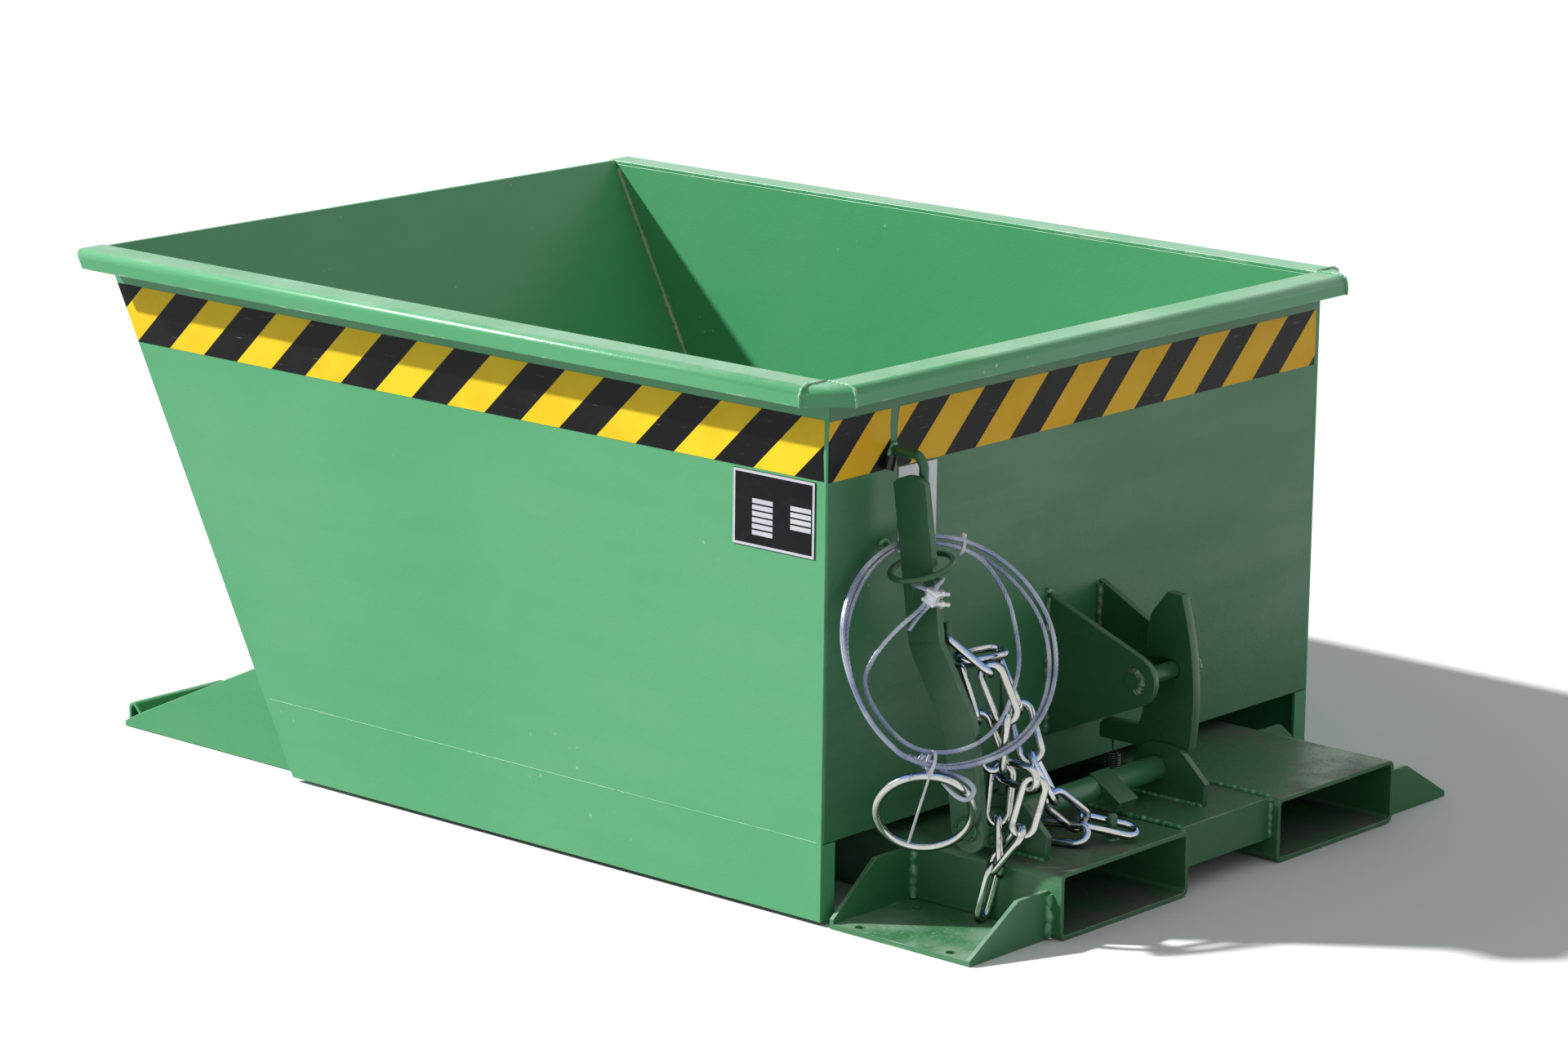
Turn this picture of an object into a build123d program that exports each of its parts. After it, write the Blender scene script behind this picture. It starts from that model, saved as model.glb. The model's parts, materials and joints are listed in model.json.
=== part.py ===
"""Forklift tipping hopper: a sheet steel trough hinged on a low base with two fork pockets.

Millimetres, +Z up, +X towards the fork entry. The origin is the middle of the footprint at ground
level. Places are written as (d, y, z), where d is the distance behind the trough's rear wall.
"""
import os
from math import acos, atan2, cos, dist, hypot, pi, radians, sin, sqrt

from build123d import *

# Overall sizes
overall_length = 1267.0
mouth_d = 206.0
rear_x = overall_length / 2 - mouth_d
lug_tip_d = mouth_d - overall_length

# Trough sheets
sheet = 4.0
body_half = 413.0
skirt_z = 4.0
floor_z = 85.0
rim_top_z = 556.0
bottom_length = 760.0
front_lean = 0.531
skirt_return = 18.0

# Rim
rim_reach = 37.0
rim_lip = 21.0
rim_front_over = 6.0
rim_chamfer = 39.0
rim_bend = 9.0

# Name plate
plate_d = (-121.0, -13.0)
plate_z = (375.0, 453.0)
plate_thick = 1.2

# Fork pockets and cross members
pocket_inner_y = 77.0
pocket_outer_y = 287.0
pocket_height = 70.0
pocket_wall = 5.0
pocket_bend = 9.0
pocket_front_d = -742.0
cross_d = (20.0, 195.0)
cross_bottom_z = 25.0
cross_wall = 5.0
front_cross_d = (-740.0, -690.0)
front_cross_z = (10.0, 60.0)
rest_d = (-620.0, -110.0)
rest_size = 60.0
rest_gap = 0.3

# Rear trays that take castors
tray_sheet = 5.0
tray_y = 410.0
tray_d = (10.0, 190.0)
tray_front_shape = (60.0, 345.0, 10.0)
tray_rear_shape = (50.0, 335.0, 5.5)
castor_hole_r = 5.5
castor_d = (40.0, 157.0)
castor_y = (398.0, 310.0)

# Front lugs and tipping stops
lug_y = 387.0
lug_inner_y = 245.0
lug_sheet = 6.0
lug_rear_d = -640.0
lug_top = ((-1036.0, 19.0), (-830.0, 114.0))
lug_wall_gap = 12.0
stop_foot_d = -1030.0
stop_sheet = 4.0
stop_bend = 7.0

# Tipping hinge
hinge_d = -850.0
hinge_z = 130.0
hinge_pin_r = 8.0
hinge_eye_r = 17.0
hinge_head_r = 12.0
hinge_head = 5.0
hinge_end = 4.0
post_y = (313.0, 325.0)
post_foot_d = (-892.0, -832.0)
ear_thick = 10.0
ear_gap = 2.0
ear_foot = 55.0
running_gap = 0.05

# Latch pieces on the trough
pin_d = 114.0
pin_z = 206.0
pin_r = 9.0
pin_y = (-60.0, 40.0)
bracket_wall_z = (126.0, 279.0)
left_bracket = (-57.0, -49.0, 27.0)
right_bracket = (30.0, 38.0, 13.0)
rod_r = 5.0
rod_y = -315.0
rod_z = 473.0
rod_leg_d = 43.0
rod_foot_z = 430.0
rod_bend = 14.0

# Latch shaft, hook, stop block and lever
shaft_d = 103.0
shaft_z = 100.0
shaft_r = 13.0
shaft_y = (-313.0, 24.0)
bearing_thick = 8.0
bearing_outline = ((70, 70), (74, 108), (86, 123), (96, 126), (112, 126), (134, 124), (167, 94), (165, 70))
bearing_y = (-262.0, 0.0)
hook_y = (9.0, 21.0)
hook_slot_gap = 0.6
hook_back = ((139, 125), (140.6, 205), (123, 286))
hook_beak = ((104, 287), (84, 261), (79, 238))
hook_mouth_d = (79, 98, 92, 77)
hook_arm = ((77, 156), (72, 139), (27, 137), (21, 131), (21, 116), (70, 116))
hook_heel = ((77, 92), (103, 73), (129, 92))
stop_block_y = (-110.0, -79.0)
stop_block_top = ((102.0, 117.0), (141.0, 92.0))
stop_block_thick = 12.0
lever_y = -307.0
lever_thick = 8.0
lever_half = 20.5
lever_lean = 3.3
lever_line = ((104.0, 97.0), (96.0, 205.0), (53.0, 283.0), (37.3, 447.4))
lever_corner = 30.0
lever_crown_r = 32.0
eye_hole = (46.8, 346.3)
eye_hole_r = 6.5

# Lock ring that hangs on the lever
lock_ring_centre = (47.0, -321.0, 362.0)
lock_ring_normal = (-0.09, -0.26, 0.96)
lock_ring_r = 32.0
lock_bar_r = 3.0

# Return spring of the latch
spring_place = (35.0, 15.0)
spring_r = 7.5
spring_wire_r = 1.0
spring_turns = 8
spring_ends_z = (74.5, 115.7)
spring_coil_z = (82.0, 108.0)
spring_lead = 2.2
spring_peg_r = 3.0

# Release rope: one length from its dead end through the clip and the lever's eye into the coil
rope_r = 2.5
coil_centre = (75.0, -316.5, 276.0)
coil_across = (0.25, 0.958, 0.141)
coil_up = (-0.49, 0.0, 0.872)
coil_turns = (
    (99.0, 97.0, 82.0, 117.0),
    (107.0, 106.5, 121.0, 122.5),
    (112.5, 112.0, 126.5, 128.0),
)
coil_last_left = 118.0
coil_leave = 123.0
clip_centre = (70.0, -337.0, 338.0)
clip_down = (-0.4, -0.12, -0.909)
clip_across = (0.909, 0.1, -0.413)
clip_half = 8.0
clip_size = (15.6, 13.0, 12.0)
clip_corner = 3.0
strand_step = 2.9
tail_end = (51.0, -334.0, 301.0)

# Pull ring at the end of the rope
pull_centre = (90.0, -362.0, 127.0)
pull_across = (0.755, 0.656, 0.0)
pull_up = (0.293, -0.337, 0.895)
pull_r = 48.0
pull_bar_r = 4.5
pull_eye_angle = 48.0
pull_eye_tilt = 38.0
towards_viewer = (0.638, -0.734, 0.230)
eye_bend = 8.2
eye_reach = 7.0
ferrule_from = 30.0
ferrule_length = 18.0
ferrule_half = (4.2, 6.6)

# Chain
link_wire_r = 4.0
link_inside = 52.0
link_width = 30.0
link_slack = 0.5
hung_link = (82.5, -264.0, 268.0)
hung_axis = (0.05, 0.99, -0.08)
near_run = ((96, -288, 221), (108, -286, 172), (130, -287, 125), (141, -303, 76), (138, -307, 25))
far_run = (
    (90, -240, 215),
    (98, -236, 164),
    (126, -236, 122),
    (160, -236, 92),
    (158, -185.5, 88),
    (168, -158, 82),
)
far_roll = (37.0, 25.0)
anchor_place = (168.0, -158.0)
anchor_r = 5.5
anchor_height = 28.0
peg_r = 4.0
peg_line = (
    (104.0, -258.0, 126.0),
    (104.0, -258.0, 258.0),
    (66.0, -264.0, 256.5),
    (64.0, -300.0, 255.0),
    (64.0, -300.0, 305.0),
)


def at(d, y, z):
    """A point given by its distance behind the rear wall."""
    return Vector(rear_x + d, y, z)


def front_d(z):
    """Outer face of the leaning front wall at height z."""
    return -bottom_length - front_lean * (z - skirt_z)


def block(d_span, y_span, z_span):
    """A box between two limits on each axis."""
    centre = at(sum(d_span) / 2, sum(y_span) / 2, sum(z_span) / 2)
    size = [abs(span[1] - span[0]) for span in (d_span, y_span, z_span)]
    return Pos(centre) * Box(*size)


def plate_xz(outline, y0, y1):
    """A plate whose (d, z) outline is a list of points, between two Y planes."""
    face = make_face(Polyline(*[at(d, y0, z) for d, z in outline], close=True))
    return extrude(face, amount=y1 - y0, dir=(0, 1, 0))


def plate_yz(outline, d0, d1):
    """A plate whose (y, z) outline is a list of points, between two d planes."""
    face = make_face(Polyline(*[at(d0, y, z) for y, z in outline], close=True))
    return extrude(face, amount=d1 - d0, dir=(1, 0, 0))


def bar_y(d, z, radius, y0, y1):
    """A round bar along Y."""
    return Pos(at(d, (y0 + y1) / 2, z)) * Rot(90, 0, 0) * Cylinder(radius, y1 - y0)


def bar_z(d, y, radius, z0, z1):
    """A round bar along Z."""
    return Pos(at(d, y, (z0 + z1) / 2)) * Cylinder(radius, z1 - z0)


def tube(path, radius):
    """A round bar swept along a wire."""
    section = Plane(origin=path @ 0, z_dir=path % 0) * Circle(radius)
    return sweep(section, path=path)


def other_side(shape):
    """The same piece mirrored across the centre plane."""
    return mirror(shape, about=Plane.XZ)


def tangent_point(corner, centre, radius, side):
    """Where a line from a corner touches a circle, on one side of it."""
    run = corner[0] - centre[0]
    rise = corner[1] - centre[1]
    angle = atan2(rise, run) + side * acos(radius / hypot(run, rise))
    return (centre[0] + radius * cos(angle), centre[1] + radius * sin(angle))


# Curves of arcs, for the rope and the spring
def biarc(p0, t0, p1, t1):
    """Two tangent arcs, or one line, between two points with given directions."""
    chord = p1 - p0
    if chord.cross(t0).length < 1e-3 * chord.length and chord.cross(t1).length < 1e-3 * chord.length:
        return [Edge.make_line(p0, p1)]
    both = t0 + t1
    spread = 2 * (1 - t0.dot(t1))
    along = chord.dot(both)
    if spread < 1e-9:
        reach = chord.dot(chord) / (4 * chord.dot(t1))
    else:
        reach = (sqrt(along * along + spread * chord.dot(chord)) - along) / spread
    middle = (p0 + t0 * reach + p1 - t1 * reach) * 0.5
    turn = (p1 - t1 * reach - p0 - t0 * reach).normalized()
    return [Edge.make_tangent_arc(p0, t0, middle), Edge.make_tangent_arc(middle, turn, p1)]


def arc_wire(stations):
    """A smooth wire through (point, direction) stations."""
    edges = []
    for (p0, t0), (p1, t1) in zip(stations, stations[1:]):
        edges += biarc(p0, t0.normalized(), p1, t1.normalized())
    return Wire(edges)


def self_gap(path, radius, step):
    """The least gap between stretches of a tube that lie apart along its length."""
    count = int(path.length / step)
    points = [tuple(path @ (i / count)) for i in range(count + 1)]
    apart = int(pi * 2 * radius / step) + 2
    least = min(
        dist(points[i], points[j]) for i in range(count) for j in range(i + apart, count + 1)
    )
    return least - 2 * radius


# Trough
def make_side_plate():
    outline = [
        (0, skirt_z),
        (-bottom_length, skirt_z),
        (front_d(rim_top_z - sheet), rim_top_z - sheet),
        (0, rim_top_z - sheet),
    ]
    inner = -body_half + sheet
    plate = plate_xz(outline, -body_half, inner)
    flange = block((-sheet, 0), (inner, inner + skirt_return), (skirt_z, floor_z - 1))
    return plate + flange


def wall_run():
    """Horizontal thickness of the leaning front wall."""
    return sheet * hypot(1, front_lean)


def make_front_wall():
    outline = [
        (front_d(floor_z), floor_z),
        (front_d(rim_top_z), rim_top_z),
        (front_d(rim_top_z) + wall_run(), rim_top_z),
        (front_d(floor_z) + wall_run(), floor_z),
    ]
    return plate_xz(outline, -body_half + sheet, body_half - sheet)


def make_trough_floor():
    top = floor_z + sheet
    outline = [
        (-sheet, floor_z),
        (front_d(floor_z) + wall_run(), floor_z),
        (front_d(top) + wall_run(), top),
        (-sheet, top),
    ]
    return plate_xz(outline, -body_half + sheet, body_half - sheet)


def make_rear_wall():
    inner = body_half - sheet
    return block((-sheet, 0), (-inner, inner), (floor_z, rim_top_z - sheet))


def rim_outline(inner, outer):
    """The folded angle of the rim as (across, z) points."""
    step = sheet if outer > inner else -sheet
    return [
        (inner, rim_top_z),
        (outer, rim_top_z),
        (outer, rim_top_z - rim_lip),
        (outer - step, rim_top_z - rim_lip),
        (outer - step, rim_top_z - sheet),
        (inner, rim_top_z - sheet),
    ]


def folded(bar, outermost):
    """A rim bar with its fold rounded outside and inside, where outermost ranks its edges."""
    for z, radius in ((rim_top_z, rim_bend), (rim_top_z - sheet, rim_bend - sheet)):
        level = [e for e in bar.edges() if abs(e.center().Z - z) < 0.1]
        bar = fillet(max(level, key=outermost), radius)
    return bar


def make_side_rim():
    front = front_d(rim_top_z) - rim_front_over
    outer = -body_half - rim_reach
    inner = -body_half + sheet
    bar = plate_yz(rim_outline(inner, outer), front - rim_lip, -sheet)
    bar = folded(bar, lambda edge: -edge.center().Y)
    under = rim_top_z - rim_lip - 1
    waste = [
        (front - 2 * rim_lip, rim_top_z),
        (front, rim_top_z),
        (front + front_lean * (rim_top_z - under), under),
        (front - 2 * rim_lip, under),
    ]
    return bar - plate_xz(waste, outer - 1, inner + 1)


def make_rear_rim():
    half = body_half + rim_reach - rim_chamfer
    bar = plate_xz(rim_outline(-sheet, rim_chamfer - sheet), -half, half)
    return folded(bar, lambda edge: edge.center().X)


def make_rim_corner():
    outer = -body_half - rim_reach
    inner = outer + rim_chamfer
    reach = rim_chamfer - sheet

    def wedge(step, z0, z1):
        corners = [at(-sheet, outer + step, z0), at(reach - step, inner, z0), at(-sheet, inner, z0)]
        return extrude(make_face(Polyline(*corners, close=True)), amount=z1 - z0, dir=(0, 0, 1))

    under = rim_top_z - rim_lip
    corner = wedge(0, under, rim_top_z) - wedge(sheet * sqrt(2), under - 1, rim_top_z - sheet)
    return folded(corner, lambda edge: edge.length)


def make_latch_bracket(y0, y1, tip_r):
    pin = (pin_d, pin_z)
    low = (0, bracket_wall_z[0])
    high = (0, bracket_wall_z[1])
    outline = [
        low,
        tangent_point(low, pin, tip_r, 1),
        pin,
        tangent_point(high, pin, tip_r, -1),
        high,
    ]
    plate = plate_xz(outline, y0, y1) + bar_y(pin_d, pin_z, tip_r, y0, y1)
    return plate - bar_y(pin_d, pin_z, pin_r, y0 - 1, y1 + 1)


def make_lock_rod():
    path = FilletPolyline(
        at(0, rod_y, rod_z), at(rod_leg_d, rod_y, rod_z), at(rod_leg_d, rod_y, rod_foot_z), radius=rod_bend
    )
    return tube(Wire(path.edges()), rod_r)


def make_hinge_ears():
    foot = [(front_d(z), z) for z in (hinge_z - ear_foot / 2, hinge_z + ear_foot)]
    hinge = (hinge_d, hinge_z)
    outline = [
        foot[0],
        tangent_point(foot[0], hinge, hinge_eye_r, -1),
        hinge,
        tangent_point(foot[1], hinge, hinge_eye_r, 1),
        foot[1],
    ]
    starts = (-post_y[1] - ear_gap - ear_thick, -post_y[0] + ear_gap)
    ears = []
    for y0 in starts:
        ear = plate_xz(outline, y0, y0 + ear_thick) + bar_y(*hinge, hinge_eye_r, y0, y0 + ear_thick)
        ears.append(ear - bar_y(*hinge, hinge_pin_r + running_gap, y0 - 1, y0 + ear_thick + 1))
    return Compound(ears)


# Base
def make_pocket():
    width = pocket_outer_y - pocket_inner_y
    centre_y = -(pocket_outer_y + pocket_inner_y) / 2
    mouth = Plane(at(pocket_front_d, centre_y, pocket_height / 2), x_dir=(0, 1, 0), z_dir=(1, 0, 0))
    section = RectangleRounded(width, pocket_height, pocket_bend)
    inside = (width - 2 * pocket_wall, pocket_height - 2 * pocket_wall)
    section -= RectangleRounded(*inside, pocket_bend - pocket_wall)
    return extrude(mouth * section, amount=mouth_d - pocket_front_d)


def make_rear_cross_member():
    y_span = (-pocket_inner_y, pocket_inner_y)
    shell = block(cross_d, y_span, (cross_bottom_z, pocket_height))
    inner_d = (cross_d[0] + cross_wall, cross_d[1] - cross_wall)
    return shell - block(inner_d, y_span, (cross_bottom_z - 1, pocket_height - cross_wall))


def make_front_cross_member():
    return block(front_cross_d, (-pocket_inner_y, pocket_inner_y), front_cross_z)


def make_floor_rests():
    centre_y = (pocket_outer_y + pocket_inner_y) / 2
    blocks = []
    for d in rest_d:
        for y in (-centre_y, centre_y):
            spans = (d - rest_size / 2, d + rest_size / 2), (y - rest_size / 2, y + rest_size / 2)
            blocks.append(block(*spans, (pocket_height, floor_z - rest_gap)))
    return Compound(blocks)


def make_tray():
    floor = block(tray_d, (-tray_y, -pocket_outer_y), (0, tray_sheet))
    for hole_d in castor_d:
        for hole_y in castor_y:
            floor -= bar_z(hole_d, -hole_y, castor_hole_r, -1, tray_sheet + 1)
    flanges = ((tray_front_shape, tray_d[0]), (tray_rear_shape, tray_d[1] - tray_sheet))
    for (height, flat_y, toe), d in flanges:
        outline = [
            (-pocket_outer_y, 0),
            (-pocket_outer_y, height),
            (-flat_y, height),
            (-tray_y, toe),
            (-tray_y, 0),
        ]
        floor += plate_yz(outline, d, d + tray_sheet)
    return floor


def make_lug():
    floor = block((lug_tip_d, lug_rear_d), (-lug_y, -pocket_outer_y), (0, lug_sheet))
    floor += block((lug_tip_d, pocket_front_d), (-pocket_outer_y, -lug_inner_y), (0, lug_sheet))
    (nose_d, nose_z), (top_d, top_z) = lug_top
    rear_foot_d = front_d(lug_sheet) - lug_wall_gap
    outline = [(lug_tip_d, 0), (lug_tip_d, lug_sheet), (nose_d, nose_z), (top_d, top_z), (rear_foot_d, 0)]
    return floor + plate_xz(outline, -lug_y, -lug_y + lug_sheet)


def make_tip_stop():
    """A sheet arch along the lug's tip: upright in front, sloping at 45 degrees behind."""

    def arch(step, y0, y1):
        front = lug_tip_d + step
        foot = lug_sheet - step / stop_sheet
        run = stop_foot_d - front - step * sqrt(2) + lug_sheet - foot
        bar = plate_xz([(front, foot), (front, foot + run), (front + run, foot)], y0, y1)
        ridge = max(bar.edges().filter_by(Axis.Y), key=lambda edge: edge.center().Z)
        return fillet(ridge, stop_bend - step)

    inner = -lug_y + lug_sheet
    return arch(0, inner, -lug_inner_y) - arch(stop_sheet, inner - 1, -lug_inner_y + 1)


def make_hinge_post():
    hinge = (hinge_d, hinge_z)
    feet = [(d, lug_sheet) for d in post_foot_d]
    outline = [
        feet[0],
        feet[1],
        tangent_point(feet[1], hinge, hinge_eye_r, 1),
        hinge,
        tangent_point(feet[0], hinge, hinge_eye_r, -1),
    ]
    post = plate_xz(outline, -post_y[1], -post_y[0]) + bar_y(*hinge, hinge_eye_r, -post_y[1], -post_y[0])
    return post - bar_y(*hinge, hinge_pin_r, -post_y[1] - 1, -post_y[0] + 1)


def make_hinge_pin():
    inner = -post_y[0] + ear_gap + ear_thick + hinge_end
    outer = -post_y[1] - ear_gap - ear_thick - 1
    pin = bar_y(hinge_d, hinge_z, hinge_pin_r, outer, inner)
    return pin + bar_y(hinge_d, hinge_z, hinge_head_r, outer - hinge_head, outer)


def make_bearing(y0):
    plate = plate_xz(bearing_outline, y0, y0 + bearing_thick)
    return plate - bar_y(shaft_d, shaft_z, shaft_r + running_gap, y0 - 1, y0 + bearing_thick + 1)


# Latch
def make_hook():
    slot_r = hypot(pin_d - shaft_d, pin_z - shaft_z)
    half = pin_r + hook_slot_gap
    y0 = hook_y[0]

    def point(d, z):
        return at(d, y0, z)

    def on_slot(radius, d):
        return point(d, shaft_z + sqrt(radius * radius - (d - shaft_d) ** 2))

    upper = slot_r + half
    lower = slot_r - half
    seat_angle = atan2(pin_z - shaft_z, pin_d - shaft_d)

    def seat(radius, turn):
        angle = seat_angle + turn
        return point(shaft_d + radius * cos(angle), shaft_z + radius * sin(angle))

    back = [point(*place) for place in hook_back]
    heel = [point(*place) for place in hook_heel]
    beak = [point(*place) for place in hook_beak]
    arm = [point(*place) for place in hook_arm]
    upper_tip, upper_mid, lower_mid, lower_tip = hook_mouth_d
    edges = [
        ThreePointArc(*back),
        Polyline(back[-1], *beak, on_slot(upper, upper_tip)),
        ThreePointArc(on_slot(upper, upper_tip), on_slot(upper, upper_mid), seat(upper, 0)),
        ThreePointArc(seat(upper, 0), seat(slot_r, -half / slot_r), seat(lower, 0)),
        ThreePointArc(seat(lower, 0), on_slot(lower, lower_mid), on_slot(lower, lower_tip)),
        Polyline(on_slot(lower, lower_tip), *arm, heel[0]),
        ThreePointArc(*heel),
        Line(heel[-1], back[0]),
    ]
    face = make_face(Wire([e for piece in edges for e in piece.edges()]))
    plate = extrude(face, amount=hook_y[1] - hook_y[0], dir=(0, 1, 0))
    return plate - bar_y(shaft_d, shaft_z, shaft_r, hook_y[0] - 1, hook_y[1] + 1)


def make_stop_block():
    (d0, z0), (d1, z1) = stop_block_top
    length = hypot(d1 - d0, z1 - z0)
    drop = ((z1 - z0) / length * stop_block_thick, -(d1 - d0) / length * stop_block_thick)
    outline = [(d0, z0), (d1, z1), (d1 + drop[0], z1 + drop[1]), (d0 + drop[0], z0 + drop[1])]
    bar = plate_xz(outline, *stop_block_y)
    return bar - bar_y(shaft_d, shaft_z, shaft_r, stop_block_y[0] - 1, stop_block_y[1] + 1)


def lever_place(d, y, z):
    """A point of the upright lever after its sideways lean about the shaft."""
    lean = radians(lever_lean)
    up = z - shaft_z
    out = y - lever_y
    return at(d, lever_y + out * cos(lean) - up * sin(lean), shaft_z + out * sin(lean) + up * cos(lean))


def above_crown(y0, y1):
    """What lies past the shallow arc at the lever's upper end."""
    (d0, z0), (d1, z1) = lever_line[-2:]
    drop = sqrt(lever_crown_r**2 - lever_half**2) / hypot(d1 - d0, z1 - z0)
    centre = (d1 - (d1 - d0) * drop, z1 - (z1 - z0) * drop)
    reach = 2 * lever_crown_r
    band = bar_y(*centre, reach, y0, y1) - bar_y(*centre, lever_crown_r, y0, y1)
    below = block((centre[0] - reach, centre[0] + reach), (y0, y1), (centre[1] - reach, centre[1]))
    return band - below


def make_lever():
    y0 = lever_y - lever_thick / 2
    line = FilletPolyline(*[at(d, y0, z) for d, z in lever_line], radius=lever_corner)
    flat = Plane(at(0, y0, 0), x_dir=(1, 0, 0), z_dir=(0, -1, 0))
    outline = offset(flat.to_local_coords(Wire(line.edges())), lever_half, side=Side.BOTH)
    plate = extrude(flat * make_face(outline), amount=-lever_thick)
    plate -= above_crown(y0 - 1, y0 + lever_thick + 1)
    plate -= bar_y(*eye_hole, eye_hole_r, y0 - 1, y0 + lever_thick + 1)
    plate = plate.rotate(Axis(at(shaft_d, lever_y, shaft_z), (1, 0, 0)), lever_lean)
    return plate - bar_y(shaft_d, shaft_z, shaft_r, y0 - lever_thick, y0 + 2 * lever_thick)


def make_ring(centre, normal, ring_r, bar_r):
    return Plane(at(*centre), z_dir=normal) * Torus(ring_r, bar_r)


# Rope
def rope_frame():
    """The pull ring's crossing point and the three directions of the rope's end eye."""
    angle = radians(pull_eye_angle)
    across = Vector(pull_across)
    up = Vector(pull_up)
    crossing = at(*pull_centre) + across * (pull_r * cos(angle)) + up * (pull_r * sin(angle))
    bar = across * sin(angle) - up * cos(angle)
    viewer = Vector(towards_viewer)
    viewer = (viewer - bar * viewer.dot(bar)).normalized()
    tilt = radians(pull_eye_tilt)
    along = bar * cos(tilt) + viewer * sin(tilt)
    side = viewer.cross(bar)
    return crossing, along, side


def coil_stations():
    """Quarter turn stations of the hand coil: left, bottom, right and top of each turn."""
    centre = at(*coil_centre)
    across = Vector(coil_across).normalized()
    up = Vector(coil_up).normalized()
    quarters = ((across * -1, up * -1), (up * -1, across), (across, up), (up, across * -1))
    stations = []
    for radii in coil_turns:
        for radius, (outward, direction) in zip(radii, quarters):
            stations.append((centre + outward * radius, direction))
    stations.append((centre - across * coil_last_left, up * -1))
    away = (across + up).normalized()
    stations.append((centre - away * coil_leave, (across - up).normalized()))
    return stations


def rope_stations():
    down = Vector(clip_down).normalized()
    aside = Vector(clip_across).normalized()
    clip = at(*clip_centre)
    tail_strand = clip + aside * strand_step
    lead_strand = clip - aside * strand_step
    hole_far = lever_place(eye_hole[0], lever_y + lever_thick / 2 + 1, eye_hole[1])
    hole_near = lever_place(eye_hole[0], lever_y - lever_thick / 2 - 1, eye_hole[1])
    through = (hole_near - hole_far).normalized()
    tail = at(*tail_end)
    stations = [
        (tail, tail_strand + down * clip_half - tail),
        (tail_strand + down * clip_half, down * -1),
        (tail_strand - down * clip_half, down * -1),
        (at(82, -327, 356), Vector(-0.15, 0.9, 0.3)),
        (at(64, -313, 354), Vector(-1, 0.05, -0.3)),
        (hole_far, through),
        (hole_near, through),
        (at(57, -336.5, 355), Vector(0.97, -0.15, 0.1)),
        (lead_strand - down * clip_half, down),
        (lead_strand + down * clip_half, down),
        (at(42, -380, 285.5), Vector(0.02, -0.8, -0.6)),
    ]
    stations += coil_stations()
    crossing, along, side = rope_frame()
    back = crossing - along * (ferrule_from + ferrule_length)
    front = crossing - along * ferrule_from
    turn = crossing + along * eye_reach
    stations += [
        (back - side * strand_step, along),
        (front - side * strand_step, along),
        (turn - side * eye_bend, along),
        (turn + along * eye_bend, side),
        (turn + side * eye_bend, along * -1),
        (front + side * strand_step, along * -1),
        (back + side * strand_step, along * -1),
    ]
    return stations


def make_rope_clip():
    plane = Plane(at(*clip_centre), x_dir=clip_across, z_dir=clip_down)
    saddle = Box(*clip_size)
    saddle = fillet(saddle.edges().filter_by(Axis.Z), clip_corner)
    for side in (-1, 1):
        saddle -= Pos(side * strand_step, 0, 0) * Cylinder(rope_r + running_gap, 4 * clip_half)
    return plane * saddle


def make_ferrule():
    crossing, along, side = rope_frame()
    middle = crossing - along * (ferrule_from + ferrule_length / 2)
    plane = Plane(middle, x_dir=side, z_dir=along)
    sleeve = extrude(SlotOverall(2 * ferrule_half[1], 2 * ferrule_half[0]), amount=ferrule_length / 2, both=True)
    for sign in (-1, 1):
        sleeve -= Pos(sign * strand_step, 0, 0) * Cylinder(rope_r + running_gap, 2 * ferrule_length)
    return plane * sleeve


# Spring
def spring_stations():
    d, y = spring_place
    low, high = spring_coil_z
    rise = (high - low) / (4 * spring_turns)
    slope = rise / (pi / 2)
    stations = [
        (at(d, y, spring_ends_z[0]), Vector(0, 0, 1)),
        (at(d, y, spring_ends_z[0] + spring_lead), Vector(0, 0, 1)),
    ]
    for quarter in range(4 * spring_turns + 1):
        angle = quarter * pi / 2
        place = at(d + spring_r * cos(angle), y + spring_r * sin(angle), low + quarter * rise)
        stations.append((place, Vector(-spring_r * sin(angle), spring_r * cos(angle), slope)))
    stations += [
        (at(d, y, spring_ends_z[1] - spring_lead), Vector(0, 0, 1)),
        (at(d, y, spring_ends_z[1]), Vector(0, 0, 1)),
    ]
    return stations


# Chain
def square_to(facing, axis):
    """The part of a facing direction that is square to an axis, as a unit vector."""
    return (facing - axis * facing.dot(axis)).normalized()


def make_link(first_wire, axis, facing):
    """One link from the middle of its first end, along an axis, in the plane square to facing."""
    bend_r = link_width / 2 - link_wire_r
    straight = link_inside + 2 * link_wire_r - 2 * bend_r
    middle = first_wire + axis * (link_inside / 2 + link_wire_r)
    path = SlotCenterToCenter(straight, 2 * bend_r).wire()
    return Plane(middle, x_dir=axis, z_dir=square_to(facing, axis)) * tube(path, link_wire_r)


def chain_run(end_wire, axis, end_facing, guides, facings):
    """Links that hang from the end of another, each towards its guide point and facing its own way.

    The two bent ends of a joint cross each other, and stand apart along the line square to both.
    """
    spacing = 2 * link_wire_r + link_slack
    links = []
    for guide, facing in zip(guides, facings):
        towards = (at(*guide) - end_wire).normalized()
        end_line = square_to(end_facing, axis).cross(axis)
        next_line = square_to(facing, towards).cross(towards)
        apart = end_line.cross(next_line).normalized()
        if apart.dot(axis + towards) < 0:
            apart = apart * -1
        first_wire = end_wire - apart * spacing
        axis = (at(*guide) - first_wire).normalized()
        links.append(make_link(first_wire, axis, facing))
        end_wire = first_wire + axis * (link_inside + 2 * link_wire_r)
        end_facing = facing
    return links


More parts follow.
